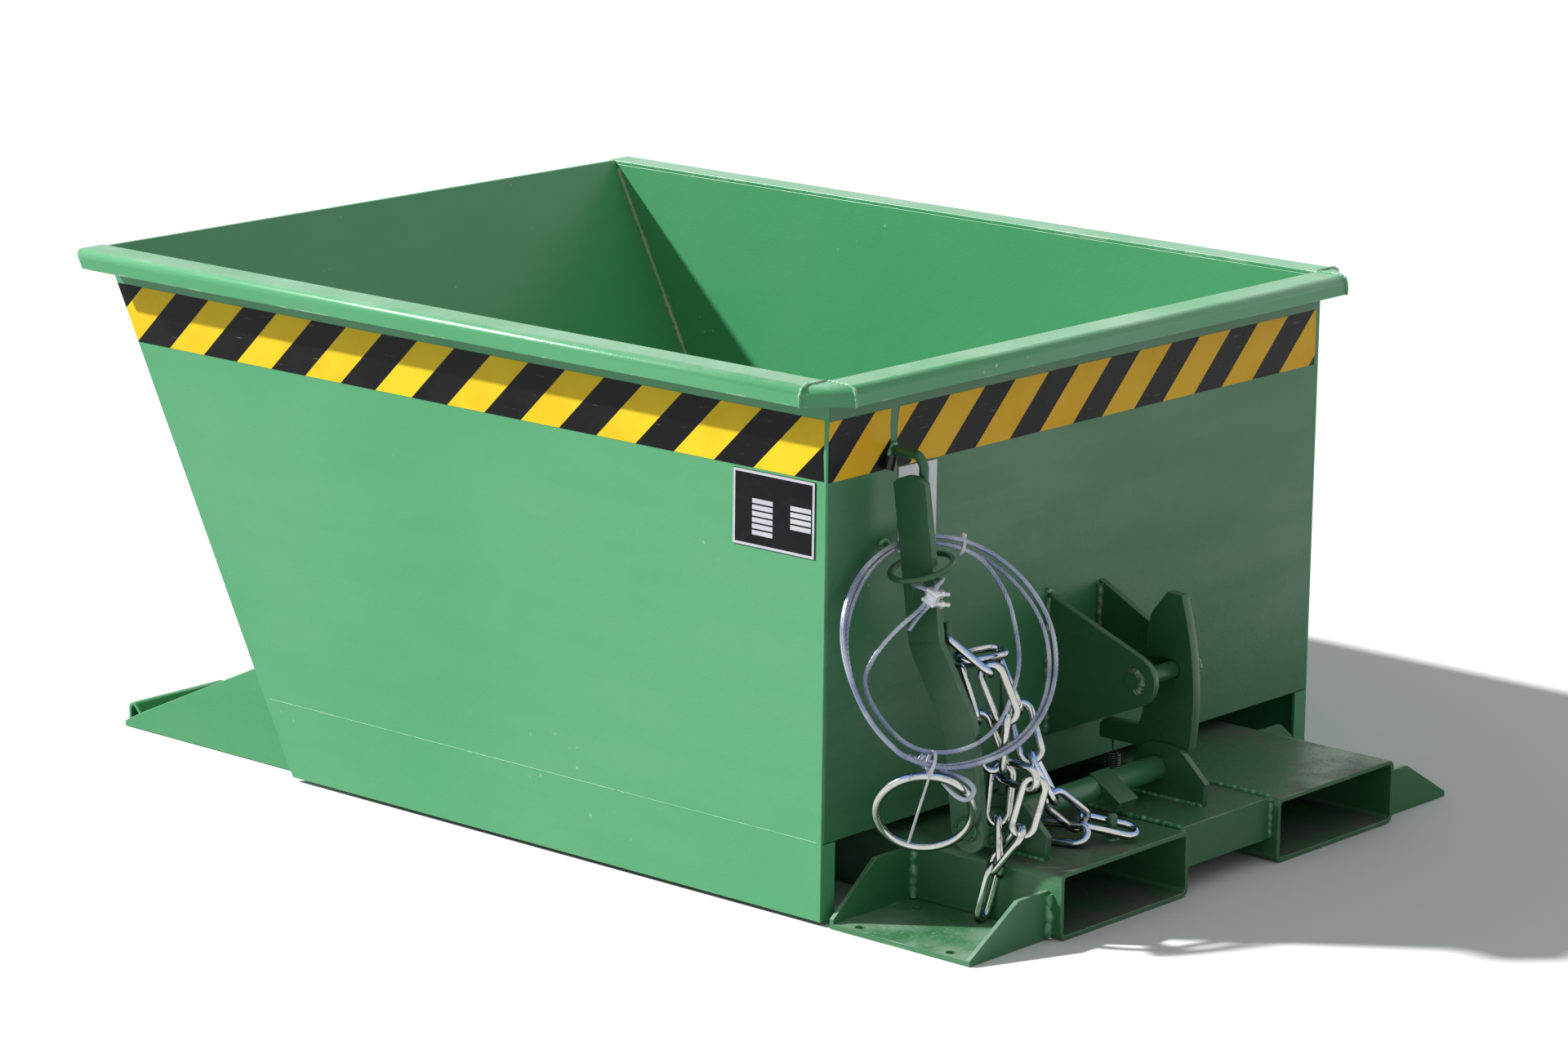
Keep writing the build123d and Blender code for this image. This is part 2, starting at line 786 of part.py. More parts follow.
def make_chain():
    """The hung link over the peg's arm, the near run into the tray and the far run to the anchor."""
    axis = Vector(*hung_axis).normalized()
    half = axis * (link_inside / 2 + link_wire_r)
    hung = at(*hung_link)
    flat = Vector(0, 0, 1)
    thin = Vector(1, 0, 0)
    wide = Vector(0, 1, 0)
    links = [make_link(hung - half, axis, flat)]
    links += chain_run(hung - half, axis * -1, flat, near_run, (thin, wide, thin, wide, thin))
    tilted, lying = [radians(angle) for angle in far_roll]
    last_two = (Vector(cos(tilted), 0, sin(tilted)), Vector(-sin(lying), 0, cos(lying)))
    links += chain_run(hung + half, axis, flat, far_run, (thin, wide, thin, wide, *last_two))
    return Compound(links)


def make_chain_peg():
    line = FilletPolyline(*[at(*place) for place in peg_line], radius=2 * peg_r)
    return tube(Wire(line.edges()), peg_r)


def make_chain_anchor():
    d, y = anchor_place
    stub = bar_z(d, y, anchor_r, pocket_height, pocket_height + anchor_height)
    top = [e for e in stub.edges() if e.center().Z > pocket_height + 1]
    return fillet(top, anchor_r - 1)


def build_nodes():
    side = make_side_plate()
    side_rim = make_side_rim()
    corner = make_rim_corner()
    ears = make_hinge_ears()
    pocket = make_pocket()
    tray = make_tray()
    lug = make_lug()
    stop = make_tip_stop()
    post = make_hinge_post()
    pin = make_hinge_pin()
    rope_path = arc_wire(rope_stations())
    spring_path = arc_wire(spring_stations())
    print("rope length", round(rope_path.length), "self gap", round(self_gap(rope_path, rope_r, 2.5), 2))
    print("spring self gap", round(self_gap(spring_path, spring_wire_r, 0.5), 2))
    return {
        "side_plate_left": side,
        "side_plate_right": other_side(side),
        "front_wall": make_front_wall(),
        "trough_floor": make_trough_floor(),
        "rear_wall": make_rear_wall(),
        "rim_left": side_rim,
        "rim_right": other_side(side_rim),
        "rim_rear": make_rear_rim(),
        "rim_corner_left": corner,
        "rim_corner_right": other_side(corner),
        "name_plate": block(plate_d, (-body_half - plate_thick, -body_half), plate_z),
        "latch_bracket_left": make_latch_bracket(*left_bracket),
        "latch_bracket_right": make_latch_bracket(*right_bracket),
        "latch_pin": bar_y(pin_d, pin_z, pin_r, *pin_y),
        "lock_rod": make_lock_rod(),
        "hinge_ears_left": ears,
        "hinge_ears_right": other_side(ears),
        "fork_pocket_left": pocket,
        "fork_pocket_right": other_side(pocket),
        "rear_cross_member": make_rear_cross_member(),
        "front_cross_member": make_front_cross_member(),
        "floor_rests": make_floor_rests(),
        "rear_tray_left": tray,
        "rear_tray_right": other_side(tray),
        "front_lug_left": lug,
        "front_lug_right": other_side(lug),
        "tip_stop_left": stop,
        "tip_stop_right": other_side(stop),
        "hinge_post_left": post,
        "hinge_post_right": other_side(post),
        "hinge_pin_left": pin,
        "hinge_pin_right": other_side(pin),
        "bearing_bracket_left": make_bearing(bearing_y[0]),
        "bearing_bracket_right": make_bearing(bearing_y[1]),
        "spring_anchor": bar_z(*spring_place, spring_peg_r, pocket_height, spring_ends_z[0]),
        "return_spring": tube(spring_path, spring_wire_r),
        "chain_anchor": make_chain_anchor(),
        "chain_peg": make_chain_peg(),
        "safety_chain": make_chain(),
        "latch_shaft": bar_y(shaft_d, shaft_z, shaft_r, *shaft_y),
        "release_lever": make_lever(),
        "latch_hook": make_hook(),
        "stop_block": make_stop_block(),
        "release_rope": tube(rope_path, rope_r),
        "rope_clip": make_rope_clip(),
        "rope_ferrule": make_ferrule(),
        "pull_ring": make_ring(pull_centre, Vector(pull_across).cross(Vector(pull_up)), pull_r, pull_bar_r),
        "lock_ring": make_ring(lock_ring_centre, lock_ring_normal, lock_ring_r, lock_bar_r),
    }


os.makedirs("parts", exist_ok=True)
for node, shape in build_nodes().items():
    export_step(shape, f"parts/{node}.step")
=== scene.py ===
import json
import math
import random

import bmesh
import bpy
from mathutils import Matrix, Vector

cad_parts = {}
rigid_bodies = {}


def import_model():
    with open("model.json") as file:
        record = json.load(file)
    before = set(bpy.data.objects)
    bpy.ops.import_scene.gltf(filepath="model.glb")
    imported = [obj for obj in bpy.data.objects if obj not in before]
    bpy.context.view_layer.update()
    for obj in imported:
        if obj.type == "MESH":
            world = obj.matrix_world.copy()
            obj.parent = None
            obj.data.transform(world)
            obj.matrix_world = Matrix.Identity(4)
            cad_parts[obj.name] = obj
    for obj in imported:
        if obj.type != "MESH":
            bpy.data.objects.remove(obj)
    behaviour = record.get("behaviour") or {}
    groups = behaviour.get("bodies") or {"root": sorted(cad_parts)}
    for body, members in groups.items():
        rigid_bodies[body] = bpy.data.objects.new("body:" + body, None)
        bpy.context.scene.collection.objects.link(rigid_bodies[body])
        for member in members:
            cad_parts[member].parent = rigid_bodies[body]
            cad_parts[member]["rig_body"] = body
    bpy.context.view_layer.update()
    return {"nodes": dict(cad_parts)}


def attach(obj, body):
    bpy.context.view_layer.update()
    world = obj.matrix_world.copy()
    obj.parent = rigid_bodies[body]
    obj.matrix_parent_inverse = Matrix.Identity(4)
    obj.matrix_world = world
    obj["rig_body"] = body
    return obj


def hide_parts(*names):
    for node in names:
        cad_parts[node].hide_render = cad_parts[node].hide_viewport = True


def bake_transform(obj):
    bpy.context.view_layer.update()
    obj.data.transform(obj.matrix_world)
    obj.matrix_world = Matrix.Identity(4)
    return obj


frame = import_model()
nodes = frame["nodes"]
scene = bpy.context.scene
rearWallX = 0.4275  # outer face of the rear wall, metres
bothSides = (-1, 1)
print("frame loaded:", len(nodes), "nodes")


def spot(d, y, z):  # millimetres behind the rear wall, to a place in the frame
    return Vector((rearWallX + d / 1000, y / 1000, z / 1000))


def srgb(r, g, b):  # a colour as seen on screen, to linear
    made = [(c / 255 / 12.92 if c < 10.3 else ((c / 255 + 0.055) / 1.055) ** 2.4) for c in (r, g, b)]
    return (*made, 1.0)


def linked(name, data):
    made = bpy.data.objects.new(name, data)
    scene.collection.objects.link(made)
    return made


def meshFrom(bm, name):
    mesh = bpy.data.meshes.new(name)
    bm.to_mesh(mesh)
    bm.free()
    return mesh


# shader building
def put(tree, kind, settings=None, inputs=None):
    made = tree.nodes.new("ShaderNode" + kind)
    for key, value in (settings or {}).items():
        setattr(made, key, value)
    for key, value in (inputs or {}).items():
        socket = made.inputs[key]
        if isinstance(value, bpy.types.NodeSocket):
            tree.links.new(value, socket)
        else:
            socket.default_value = value
    return made


def mixColour(tree, factor, a, b, blend="MIX"):
    made = put(tree, "Mix", {"data_type": "RGBA", "blend_type": blend}, {0: factor, 6: a, 7: b})
    return made.outputs[2]


def ramp(tree, value, low, high, toLow=0.0, toHigh=1.0):
    made = put(tree, "MapRange", {"interpolation_type": "SMOOTHSTEP"}, {
        "Value": value, "From Min": low, "From Max": high, "To Min": toLow, "To Max": toHigh})
    return made.outputs[0]


def maths(tree, operation, a, b=0.0):
    return put(tree, "Math", {"operation": operation}, {0: a, 1: b}).outputs[0]


def dot(tree, a, b):
    return put(tree, "VectorMath", {"operation": "DOT_PRODUCT"}, {0: a, 1: b}).outputs["Value"]


def noise(tree, place, scale, detail=2.0, rough=0.5):
    made = put(tree, "TexNoise", None, {"Vector": place, "Scale": scale, "Detail": detail, "Roughness": rough})
    return made.outputs["Fac"]


def stretched(tree, place, scale):
    return put(tree, "Mapping", None, {"Vector": place, "Scale": scale}).outputs[0]


def upward(tree):  # how far the surface faces up
    return put(tree, "SeparateXYZ", None, {0: put(tree, "NewGeometry").outputs["Normal"]}).outputs["Z"]


def seenRays(tree):  # rays that see the pale studio, straight or mirrored
    path = put(tree, "LightPath").outputs
    straight = maths(tree, "MAXIMUM", path["Is Camera Ray"], path["Is Glossy Ray"])
    return maths(tree, "MAXIMUM", straight, path["Is Transmission Ray"])


# camera, light and floor
shot = {
    "eye": (3.667, -4.202, 1.594),
    "right": (0.75278, 0.65816, 0.01206),
    "up": (-0.16038, 0.16561, 0.97307),
    "back": (0.63844, -0.73444, 0.23022),
    "lens": 119.96,
    "sensor": 36.0,
    "farthest": 100.0,
}
light = {
    "sunFrom": (-0.635, -0.471, 0.612),
    "sunPower": 4.8,
    "sunSpread": 0.035,
    "sky": (0.95, 0.98, 1.0, 1.0),
    "skyPower": 0.38,
    "backdrop": (1.0, 1.0, 1.0, 1.0),
}
floorLook = {
    "seen": (0.90, 0.90, 0.90, 1.0),
    "lit": (0.42, 0.42, 0.42, 1.0),
    "half": 40.0,
    "drop": 0.0006,  # just under the pockets
}


def setCamera():
    data = bpy.data.cameras.new("photoCamera")
    data.lens = shot["lens"]
    data.sensor_width = shot["sensor"]
    data.clip_end = shot["farthest"]
    camera = linked("photoCamera", data)
    turn = Matrix((shot["right"], shot["up"], shot["back"])).transposed().to_4x4()
    camera.matrix_world = Matrix.Translation(shot["eye"]) @ turn
    scene.camera = camera


def setLight():
    data = bpy.data.lights.new("keyLight", "SUN")
    data.energy = light["sunPower"]
    data.angle = light["sunSpread"]
    key = linked("keyLight", data)
    key.rotation_euler = Vector(light["sunFrom"]).to_track_quat("Z", "Y").to_euler()
    world = bpy.data.worlds.new("paleStudio")
    world.use_nodes = True
    scene.world = world
    tree = world.node_tree
    tree.nodes.clear()
    soft = put(tree, "Background", None, {"Color": light["sky"], "Strength": light["skyPower"]})
    plain = put(tree, "Background", None, {"Color": light["backdrop"], "Strength": 1.0})
    mix = put(tree, "MixShader", None, {0: seenRays(tree), 1: soft.outputs[0], 2: plain.outputs[0]})
    put(tree, "OutputWorld", None, {"Surface": mix.outputs[0]})
    scene.view_settings.view_transform = "Standard"


def setFloor():
    bm = bmesh.new()
    bmesh.ops.create_grid(bm, x_segments=1, y_segments=1, size=floorLook["half"])
    bmesh.ops.translate(bm, verts=bm.verts, vec=(0, 0, -floorLook["drop"]))
    floor = linked("studioFloor", meshFrom(bm, "studioFloor"))
    paint = bpy.data.materials.new("paleFloor")
    paint.use_nodes = True
    tree = paint.node_tree
    tree.nodes.clear()
    tone = mixColour(tree, seenRays(tree), floorLook["lit"], floorLook["seen"])
    matt = put(tree, "BsdfDiffuse", None, {"Color": tone})
    put(tree, "OutputMaterial", None, {"Surface": matt.outputs[0]})
    floor.data.materials.append(paint)


setCamera()
setLight()
setFloor()
print("camera, light and floor set")


# effects that several finishes share
filmLook = {
    "cloudScale": 2.3, "wipeScale": 4.0, "wipeStretch": (1.3, 1.3, 7.0), "wipeRough": 0.15,
    "deep": (0.80, 0.90, 0.84, 1), "pale": (0.75, 0.86, 0.78, 1), "paleShare": 0.06,
    "peelScale": 420.0, "peelShare": 0.45, "sagScale": 34.0,
    "chipScale": 75.0, "chipSize": (0.17, 0.10), "chipPatchScale": 7.0,
}
wearAndHighlightLook = {"turn": (0.995, 0.86), "patchScale": 26.0, "patch": (0.5, 0.62), "samples": 4}
dustAndShadeLook = {
    "level": (0.55, 0.98), "coverScale": 9.0, "coverShare": 0.7, "speckScale": 260.0, "speckShare": 0.5, "rough": 0.25,
}


def startGroup(name, ins, outs):
    group = bpy.data.node_groups.new(name, "ShaderNodeTree")
    for title, kind, value in ins:
        socket = group.interface.new_socket(title, in_out="INPUT", socket_type="NodeSocket" + kind)
        if value is not None:
            socket.default_value = value
    for title, kind in outs:
        group.interface.new_socket(title, in_out="OUTPUT", socket_type="NodeSocket" + kind)
    return group, group.nodes.new("NodeGroupInput").outputs, group.nodes.new("NodeGroupOutput").inputs


def makePaintFilm():  # sprayed enamel: cloudy tone, wiped streaks, orange peel, small chips
    group, given, gives = startGroup(
        "paintFilm",
        [("Place", "Vector", None), ("Paint", "Color", None), ("Cloud", "Float", 0.5), ("Streak", "Float", 0.5),
         ("Shine", "Float", 0.27)],
        [("Colour", "Color"), ("Roughness", "Float"), ("Height", "Float"), ("Chips", "Float")],
    )
    link = group.links.new
    place = given["Place"]
    cloud = ramp(group, noise(group, place, filmLook["cloudScale"], 3.0), 0.32, 0.68)
    wiped = noise(group, stretched(group, place, filmLook["wipeStretch"]), filmLook["wipeScale"], 5.0, 0.62)
    streak = ramp(group, wiped, 0.35, 0.7)
    deep = mixColour(group, 1.0, given["Paint"], filmLook["deep"], "MULTIPLY")
    pale = mixColour(group, filmLook["paleShare"], given["Paint"], filmLook["pale"])
    clouded = mixColour(group, maths(group, "MULTIPLY", cloud, given["Cloud"]), given["Paint"], pale)
    link(mixColour(group, maths(group, "MULTIPLY", streak, given["Streak"]), clouded, deep), gives["Colour"])
    dulled = ramp(group, wiped, 0.25, 0.8, 0.0, filmLook["wipeRough"])
    link(maths(group, "ADD", given["Shine"], dulled), gives["Roughness"])
    peel = maths(group, "MULTIPLY", noise(group, place, filmLook["peelScale"]), filmLook["peelShare"])
    link(maths(group, "ADD", peel, noise(group, place, filmLook["sagScale"])), gives["Height"])
    cells = put(group, "TexVoronoi", None, {"Vector": place, "Scale": filmLook["chipScale"]})
    dots = ramp(group, cells.outputs["Distance"], *filmLook["chipSize"])
    few = ramp(group, noise(group, place, filmLook["chipPatchScale"], 4.0, 0.7), 0.60, 0.70)
    link(maths(group, "MULTIPLY", dots, few), gives["Chips"])
    return group


def makeEdgeWearAndHighlight():  # where edges have rubbed, and on the rim and latch a painted edge highlight as well: the normal turns across a rounded edge
    group, given, gives = startGroup(
        "edgeWearAndHighlight",
        [("Place", "Vector", None), ("Width", "Float", 0.002), ("Amount", "Float", 0.5)],
        [("Mask", "Float")],
    )
    eased = put(group, "Bevel", {"samples": wearAndHighlightLook["samples"]}, {"Radius": given["Width"]})
    across = dot(group, eased.outputs[0], put(group, "NewGeometry").outputs["Normal"])
    edge = ramp(group, across, *wearAndHighlightLook["turn"])
    patch = ramp(group, noise(group, given["Place"], wearAndHighlightLook["patchScale"], 6.0, 0.7), *wearAndHighlightLook["patch"])
    rubbed = maths(group, "MULTIPLY", edge, patch)
    group.links.new(maths(group, "MULTIPLY", rubbed, given["Amount"]), gives["Mask"])
    return group


def makeSettledDustAndShade():  # dust on what faces up; with a dark tone it is grime and painted shade
    group, given, gives = startGroup(
        "settledDustAndShade",
        [("Place", "Vector", None), ("Amount", "Float", 0.3)],
        [("Mask", "Float")],
    )
    level = ramp(group, upward(group), *dustAndShadeLook["level"])
    cover = ramp(group, noise(group, given["Place"], dustAndShadeLook["coverScale"], 6.0, 0.65), 0.36, 0.72)
    speck = ramp(group, noise(group, given["Place"], dustAndShadeLook["speckScale"], 3.0, 0.7), 0.56, 0.68)
    both = maths(group, "ADD", maths(group, "MULTIPLY", cover, dustAndShadeLook["coverShare"]),
                 maths(group, "MULTIPLY", speck, dustAndShadeLook["speckShare"]))
    group.links.new(maths(group, "MULTIPLY", maths(group, "MULTIPLY", level, both), given["Amount"]), gives["Mask"])
    return group


groups = {"film": makePaintFilm(), "wearAndHighlight": makeEdgeWearAndHighlight(), "dustAndShade": makeSettledDustAndShade()}
finishes = {}


def useGroup(tree, group, inputs):
    return put(tree, "Group", {"node_tree": groups[group]}, inputs).outputs


def startMaterial(name):
    made = bpy.data.materials.new(name)
    made.use_nodes = True
    tree = made.node_tree
    finishes[name] = made
    return tree, tree.nodes["Principled BSDF"].inputs, put(tree, "TexCoord").outputs["Object"]


def bumpInto(tree, shader, height, distance):
    bump = put(tree, "Bump", None, {"Height": height, "Distance": distance})
    tree.links.new(bump.outputs[0], shader["Normal"])


# green enamel; the darker copies for the rear wall, trays, pockets and latch carry painted shade
paleDust = srgb(186, 204, 186)
# grime tone, which on the pockets' tops is also painted shade
grimeAndPaintedShade = srgb(82, 89, 78)
trayDust = srgb(122, 152, 128)
rubbedPaint = srgb(178, 205, 182)
freshGreen = srgb(74, 160, 106)
paintBase = {
    "shine": 0.27, "cloud": 0.8, "streak": 0.5, "dustAndShade": 0.10, "dustAndShadeTone": paleDust, "wearAndHighlight": 0.6, "wearWidth": 0.0022,
    "bareAndHighlight": rubbedPaint, "chips": 0.6, "gloss": 0.5, "peel": 0.0004,
}
paintLooks = {
    "troughPaint": {"paint": freshGreen, "streak": 0.30, "wearAndHighlight": 0.45, "chips": 0.5, "peel": 0.0003},
    # the rim's near-white edge tone over a wide edge mask is wear and a painted highlight
    "rimPaintWithPaintedHighlight": {"paint": freshGreen, "shine": 0.21, "streak": 0.20, "dustAndShade": 0.50, "wearAndHighlight": 0.75, "wearWidth": 0.0035,
                 "bareAndHighlight": srgb(214, 226, 210), "chips": 0.8, "peel": 0.0003},
    # the darker green of the rear wall and shaft is painted shade
    "rearPaintWithPaintedShade": {"paint": srgb(50, 122, 76), "shine": 0.29, "cloud": 0.9, "streak": 0.55, "wearAndHighlight": 0.45, "chips": 0.7,
                  "peel": 0.00034},
    "basePaint": {"paint": srgb(66, 152, 96), "streak": 0.45},
    # the pockets' darker green is painted shade, and the dark tone on their tops is grime and painted shade
    "pocketPaintWithPaintedShade": {"paint": srgb(52, 114, 70), "shine": 0.28, "streak": 0.55, "dustAndShade": 2.2, "dustAndShadeTone": grimeAndPaintedShade,
                    "wearWidth": 0.0025, "chips": 0.4, "gloss": 0.45},
    # the trays' darker green is painted shade under their dust
    "trayPaintWithPaintedShade": {"paint": srgb(52, 122, 74), "shine": 0.28, "dustAndShade": 1.9, "dustAndShadeTone": trayDust, "wearAndHighlight": 0.7,
                  "wearWidth": 0.0024},
    # the latch's darker green is partly painted shade, and its pale edge tone is wear and a painted highlight
    "latchPaintWithPaintedShadeAndHighlight": {"paint": srgb(40, 98, 60), "shine": 0.26, "cloud": 0.6, "dustAndShade": 0.15, "wearAndHighlight": 0.65,
                   "wearWidth": 0.0018, "bareAndHighlight": srgb(138, 172, 146)},
}


def makePaint(name, look):
    tree, shader, place = startMaterial(name)
    film = useGroup(tree, "film", {"Place": place, "Paint": look["paint"], "Cloud": look["cloud"],
                                   "Streak": look["streak"], "Shine": look["shine"]})
    dustAndShade = useGroup(tree, "dustAndShade", {"Place": place, "Amount": look["dustAndShade"]})
    wearAndHighlight = useGroup(tree, "wearAndHighlight", {"Place": place, "Width": look["wearWidth"], "Amount": look["wearAndHighlight"]})
    # dust on faces turned up; on the pockets it is grime and painted shade
    dusty = mixColour(tree, dustAndShade["Mask"], film["Colour"], look["dustAndShadeTone"])
    # rubbed edges and chips take the bare tone, which on the rim and latch is also a painted highlight
    rubbed = maths(tree, "MAXIMUM", wearAndHighlight["Mask"], maths(tree, "MULTIPLY", film["Chips"], look["chips"]))
    tree.links.new(mixColour(tree, rubbed, dusty, look["bareAndHighlight"]), shader["Base Color"])
    rough = maths(tree, "ADD", film["Roughness"], maths(tree, "MULTIPLY", dustAndShade["Mask"], dustAndShadeLook["rough"]))
    tree.links.new(rough, shader["Roughness"])
    shader["Specular IOR Level"].default_value = look["gloss"]
    bumpInto(tree, shader, film["Height"], look["peel"])


for paintName, look in paintLooks.items():
    makePaint(paintName, {**paintBase, **look})


# small finishes: two tones in patches, stains, and painted shade in the rope's grooves
mottledBase = {"soil": 0.4, "metallic": 0.0, "gloss": 0.5, "grain": 300.0, "bump": 0.0004}
# the depths over which the rope's painted groove shade comes in, and its strongest share
grooveDepth = {"from": 0.03, "to": 0.2, "share": 0.85}
mottledLooks = {
    # the clip's near-white zinc is its pale plating with painted light, so that it looks sunlit in shade
    "paleZinc": {"cool": srgb(226, 230, 238), "warm": srgb(244, 244, 240), "dark": srgb(170, 174, 182), "soil": 0.35,
                 "soilScale": 160.0, "tintScale": 120.0, "metallic": 0.35, "rough": (0.22, 0.42), "grain": 400.0,
                 "bump": 0.00012},
    "pinSteel": {"cool": srgb(92, 104, 96), "warm": srgb(70, 86, 74), "dark": srgb(44, 52, 46), "soil": 0.6,
                 "soilScale": 70.0, "tintScale": 60.0, "metallic": 0.55, "rough": (0.34, 0.55), "bump": 0.0001},
    "ropeWire": {"cool": srgb(132, 143, 172), "warm": srgb(192, 197, 210), "dark": srgb(96, 102, 128),
                 # the groove tone is painted shade between the strands
                 "groove": srgb(46, 50, 74), "soilScale": 40.0, "tintScale": 16.0, "metallic": 0.45,
                 "rough": (0.26, 0.42), "grain": 500.0, "bump": 0.00005},
    "springWire": {"cool": srgb(70, 82, 74), "warm": srgb(58, 62, 58), "dark": srgb(84, 62, 44), "soil": 0.5,
                   "soilScale": 70.0, "tintScale": 90.0, "metallic": 0.7, "rough": (0.3, 0.5), "grain": 500.0,
                   "bump": 0.00005},
    "greenWeld": {"cool": srgb(66, 146, 94), "warm": srgb(120, 178, 136), "dark": srgb(54, 96, 66), "soil": 0.5,
                  "soilScale": 120.0, "tintScale": 150.0, "rough": (0.24, 0.40)},
    "scuffedSeam": {"cool": srgb(92, 168, 118), "warm": srgb(146, 190, 156), "dark": srgb(214, 222, 210), "soil": 0.6,
                    "soilScale": 60.0, "tintScale": 90.0, "rough": (0.24, 0.40)},
    "innerSeam": {"cool": srgb(112, 160, 120), "warm": srgb(158, 170, 140), "dark": srgb(176, 172, 140), "soil": 0.6,
                  "soilScale": 60.0, "tintScale": 40.0, "rough": (0.3, 0.45)},
    "rustyWeld": {"cool": srgb(58, 104, 70), "warm": srgb(122, 150, 122), "dark": srgb(122, 86, 50), "soil": 0.85,
                  "soilScale": 90.0, "tintScale": 130.0, "rough": (0.28, 0.5)},
    "plateBlack": {"cool": srgb(17, 16, 19), "warm": srgb(24, 23, 25), "dark": srgb(50, 50, 52), "soil": 0.25,
                   "soilScale": 90.0, "tintScale": 30.0, "gloss": 0.12, "rough": (0.30, 0.42), "grain": 700.0,
                   "bump": 0.00003},
    "plateSilver": {"cool": srgb(196, 196, 208), "warm": srgb(208, 206, 212), "dark": srgb(168, 168, 176),
                    "soilScale": 120.0, "tintScale": 60.0, "metallic": 0.25, "rough": (0.30, 0.45), "grain": 700.0,
                    "bump": 0.00003},
    "paper": {"cool": srgb(248, 247, 255), "warm": srgb(252, 251, 254), "dark": srgb(232, 230, 240), "soil": 0.5,
              "soilScale": 30.0, "tintScale": 20.0, "rough": (0.34, 0.46), "grain": 600.0, "bump": 0.00004},
    "nylon": {"cool": srgb(232, 230, 242), "warm": srgb(242, 241, 244), "dark": srgb(204, 202, 216),
              "soilScale": 200.0, "tintScale": 120.0, "rough": (0.32, 0.45), "grain": 900.0, "bump": 0.00003},
    "tapeBack": {"cool": srgb(36, 36, 36), "warm": srgb(48, 47, 46), "dark": srgb(22, 22, 22),
                 "soilScale": 90.0, "tintScale": 60.0, "rough": (0.25, 0.4), "bump": 0.0002},
}


def stainMask(tree, place, scale):
    return ramp(tree, noise(tree, place, scale, 6.0, 0.7), 0.52, 0.72)


def roughAndGrain(tree, shader, place, stain, look):
    tree.links.new(ramp(tree, stain, 0.0, 1.0, *look["rough"]), shader["Roughness"])
    bumpInto(tree, shader, noise(tree, place, look["grain"], 4.0, 0.6), look["bump"])


def makeMottled(name, look):
    tree, shader, place = startMaterial(name)
    tint = ramp(tree, noise(tree, place, look["tintScale"], 3.0), 0.38, 0.64)
    stain = stainMask(tree, place, look["soilScale"])
    colour = mixColour(tree, tint, look["cool"], look["warm"])
    soiled = mixColour(tree, maths(tree, "MULTIPLY", stain, look["soil"]), colour, look["dark"])
    # painted shade in the hollows between the rope's strands
    if "groove" in look:
        deep = put(tree, "Attribute", {"attribute_name": "groove"}).outputs["Fac"]
        between = ramp(tree, deep, grooveDepth["from"], grooveDepth["to"], 0.0, grooveDepth["share"])
        soiled = mixColour(tree, between, soiled, look["groove"])
    tree.links.new(soiled, shader["Base Color"])
    shader["Metallic"].default_value = look["metallic"]
    shader["Specular IOR Level"].default_value = look["gloss"]
    roughAndGrain(tree, shader, place, stain, look)


for lookName, look in mottledLooks.items():
    makeMottled(lookName, {**mottledBase, **look})


# bright plating of the chain and pull ring, with a painted sky reflection in blue where it faces up and painted shade
# on faces turned down
zincPaintedReflectionLook = {
    # the blue is a painted sky reflection; the dark tone is stains and, on faces turned down, painted shade
    "silver": srgb(198, 198, 192), "paintedSkyBlue": srgb(116, 150, 204), "dark": srgb(52, 56, 58), "soil": 0.5,
    "paintedSkyFacing": (0.25, 0.85), "patchy": 2.2, "under": 0.8, "paintedShadeFacing": (-0.6, -0.1),
    "soilScale": 70.0, "tintScale": 24.0, "rough": (0.10, 0.28), "grain": 220.0, "bump": 0.0001,
}


def makeZincPaintedReflection(name, look):
    tree, shader, place = startMaterial(name)
    facing = upward(tree)
    patch = maths(tree, "SUBTRACT", noise(tree, place, look["tintScale"], 3.0), 0.5)
    lifted = maths(tree, "ADD", facing, maths(tree, "MULTIPLY", patch, look["patchy"]))
    # blue mixed in where the face turns up: a painted sky reflection
    colour = mixColour(tree, ramp(tree, lifted, *look["paintedSkyFacing"]), look["silver"], look["paintedSkyBlue"])
    stain = stainMask(tree, place, look["soilScale"])
    # faces turned down go towards the dark tone: painted shade, taken together with the stains
    under = ramp(tree, facing, *look["paintedShadeFacing"], look["under"], 0.0)
    dulled = maths(tree, "MAXIMUM", maths(tree, "MULTIPLY", stain, look["soil"]), under)
    tree.links.new(mixColour(tree, dulled, colour, look["dark"]), shader["Base Color"])
    shader["Metallic"].default_value = 1.0
    roughAndGrain(tree, shader, place, stain, look)


makeZincPaintedReflection("zincPaintedReflection", zincPaintedReflectionLook)


# hazard tape: slanting bands, counted along the strip from its start at one level
hazard = {
    "level": 0.505, "countFrom": 20,  # the count stays above zero
    "black": srgb(13, 13, 14), "oldBlack": srgb(22, 22, 22), "scratch": srgb(206, 204, 190), "scratchShare": 0.18,
    "patternScale": 12.0, "scratchStretch": (3.0, 3.0, 40.0), "weaveScale": 260.0, "weaveStretch": (1.0, 1.0, 6.0),
    "rough": (0.32, 0.46), "gloss": 0.14, "bump": 0.00008, "fadeRelief": 2.0,
}
sideBands = {"axis": 0, "period": 0.1065, "lean": 1.02, "share": 0.507,
             "yellow": srgb(247, 212, 44), "oldYellow": srgb(240, 197, 34)}
# the rear wall's tape is in shade, so its yellow is a warmer copy of the sides': a painted shade tone
rearBandsPaintedShade = {"axis": 1, "period": 0.1043, "lean": 1.03, "share": 0.527,
             "yellow": srgb(255, 200, 44), "oldYellow": srgb(251, 188, 36)}
hazardStrips = {
    "sideHazard": {"start": rearWallX - 1.003, **sideBands},
    "rearHazardOne": {"start": -0.351, **rearBandsPaintedShade},
    "rearHazardTwo": {"start": -0.234, **rearBandsPaintedShade},
}


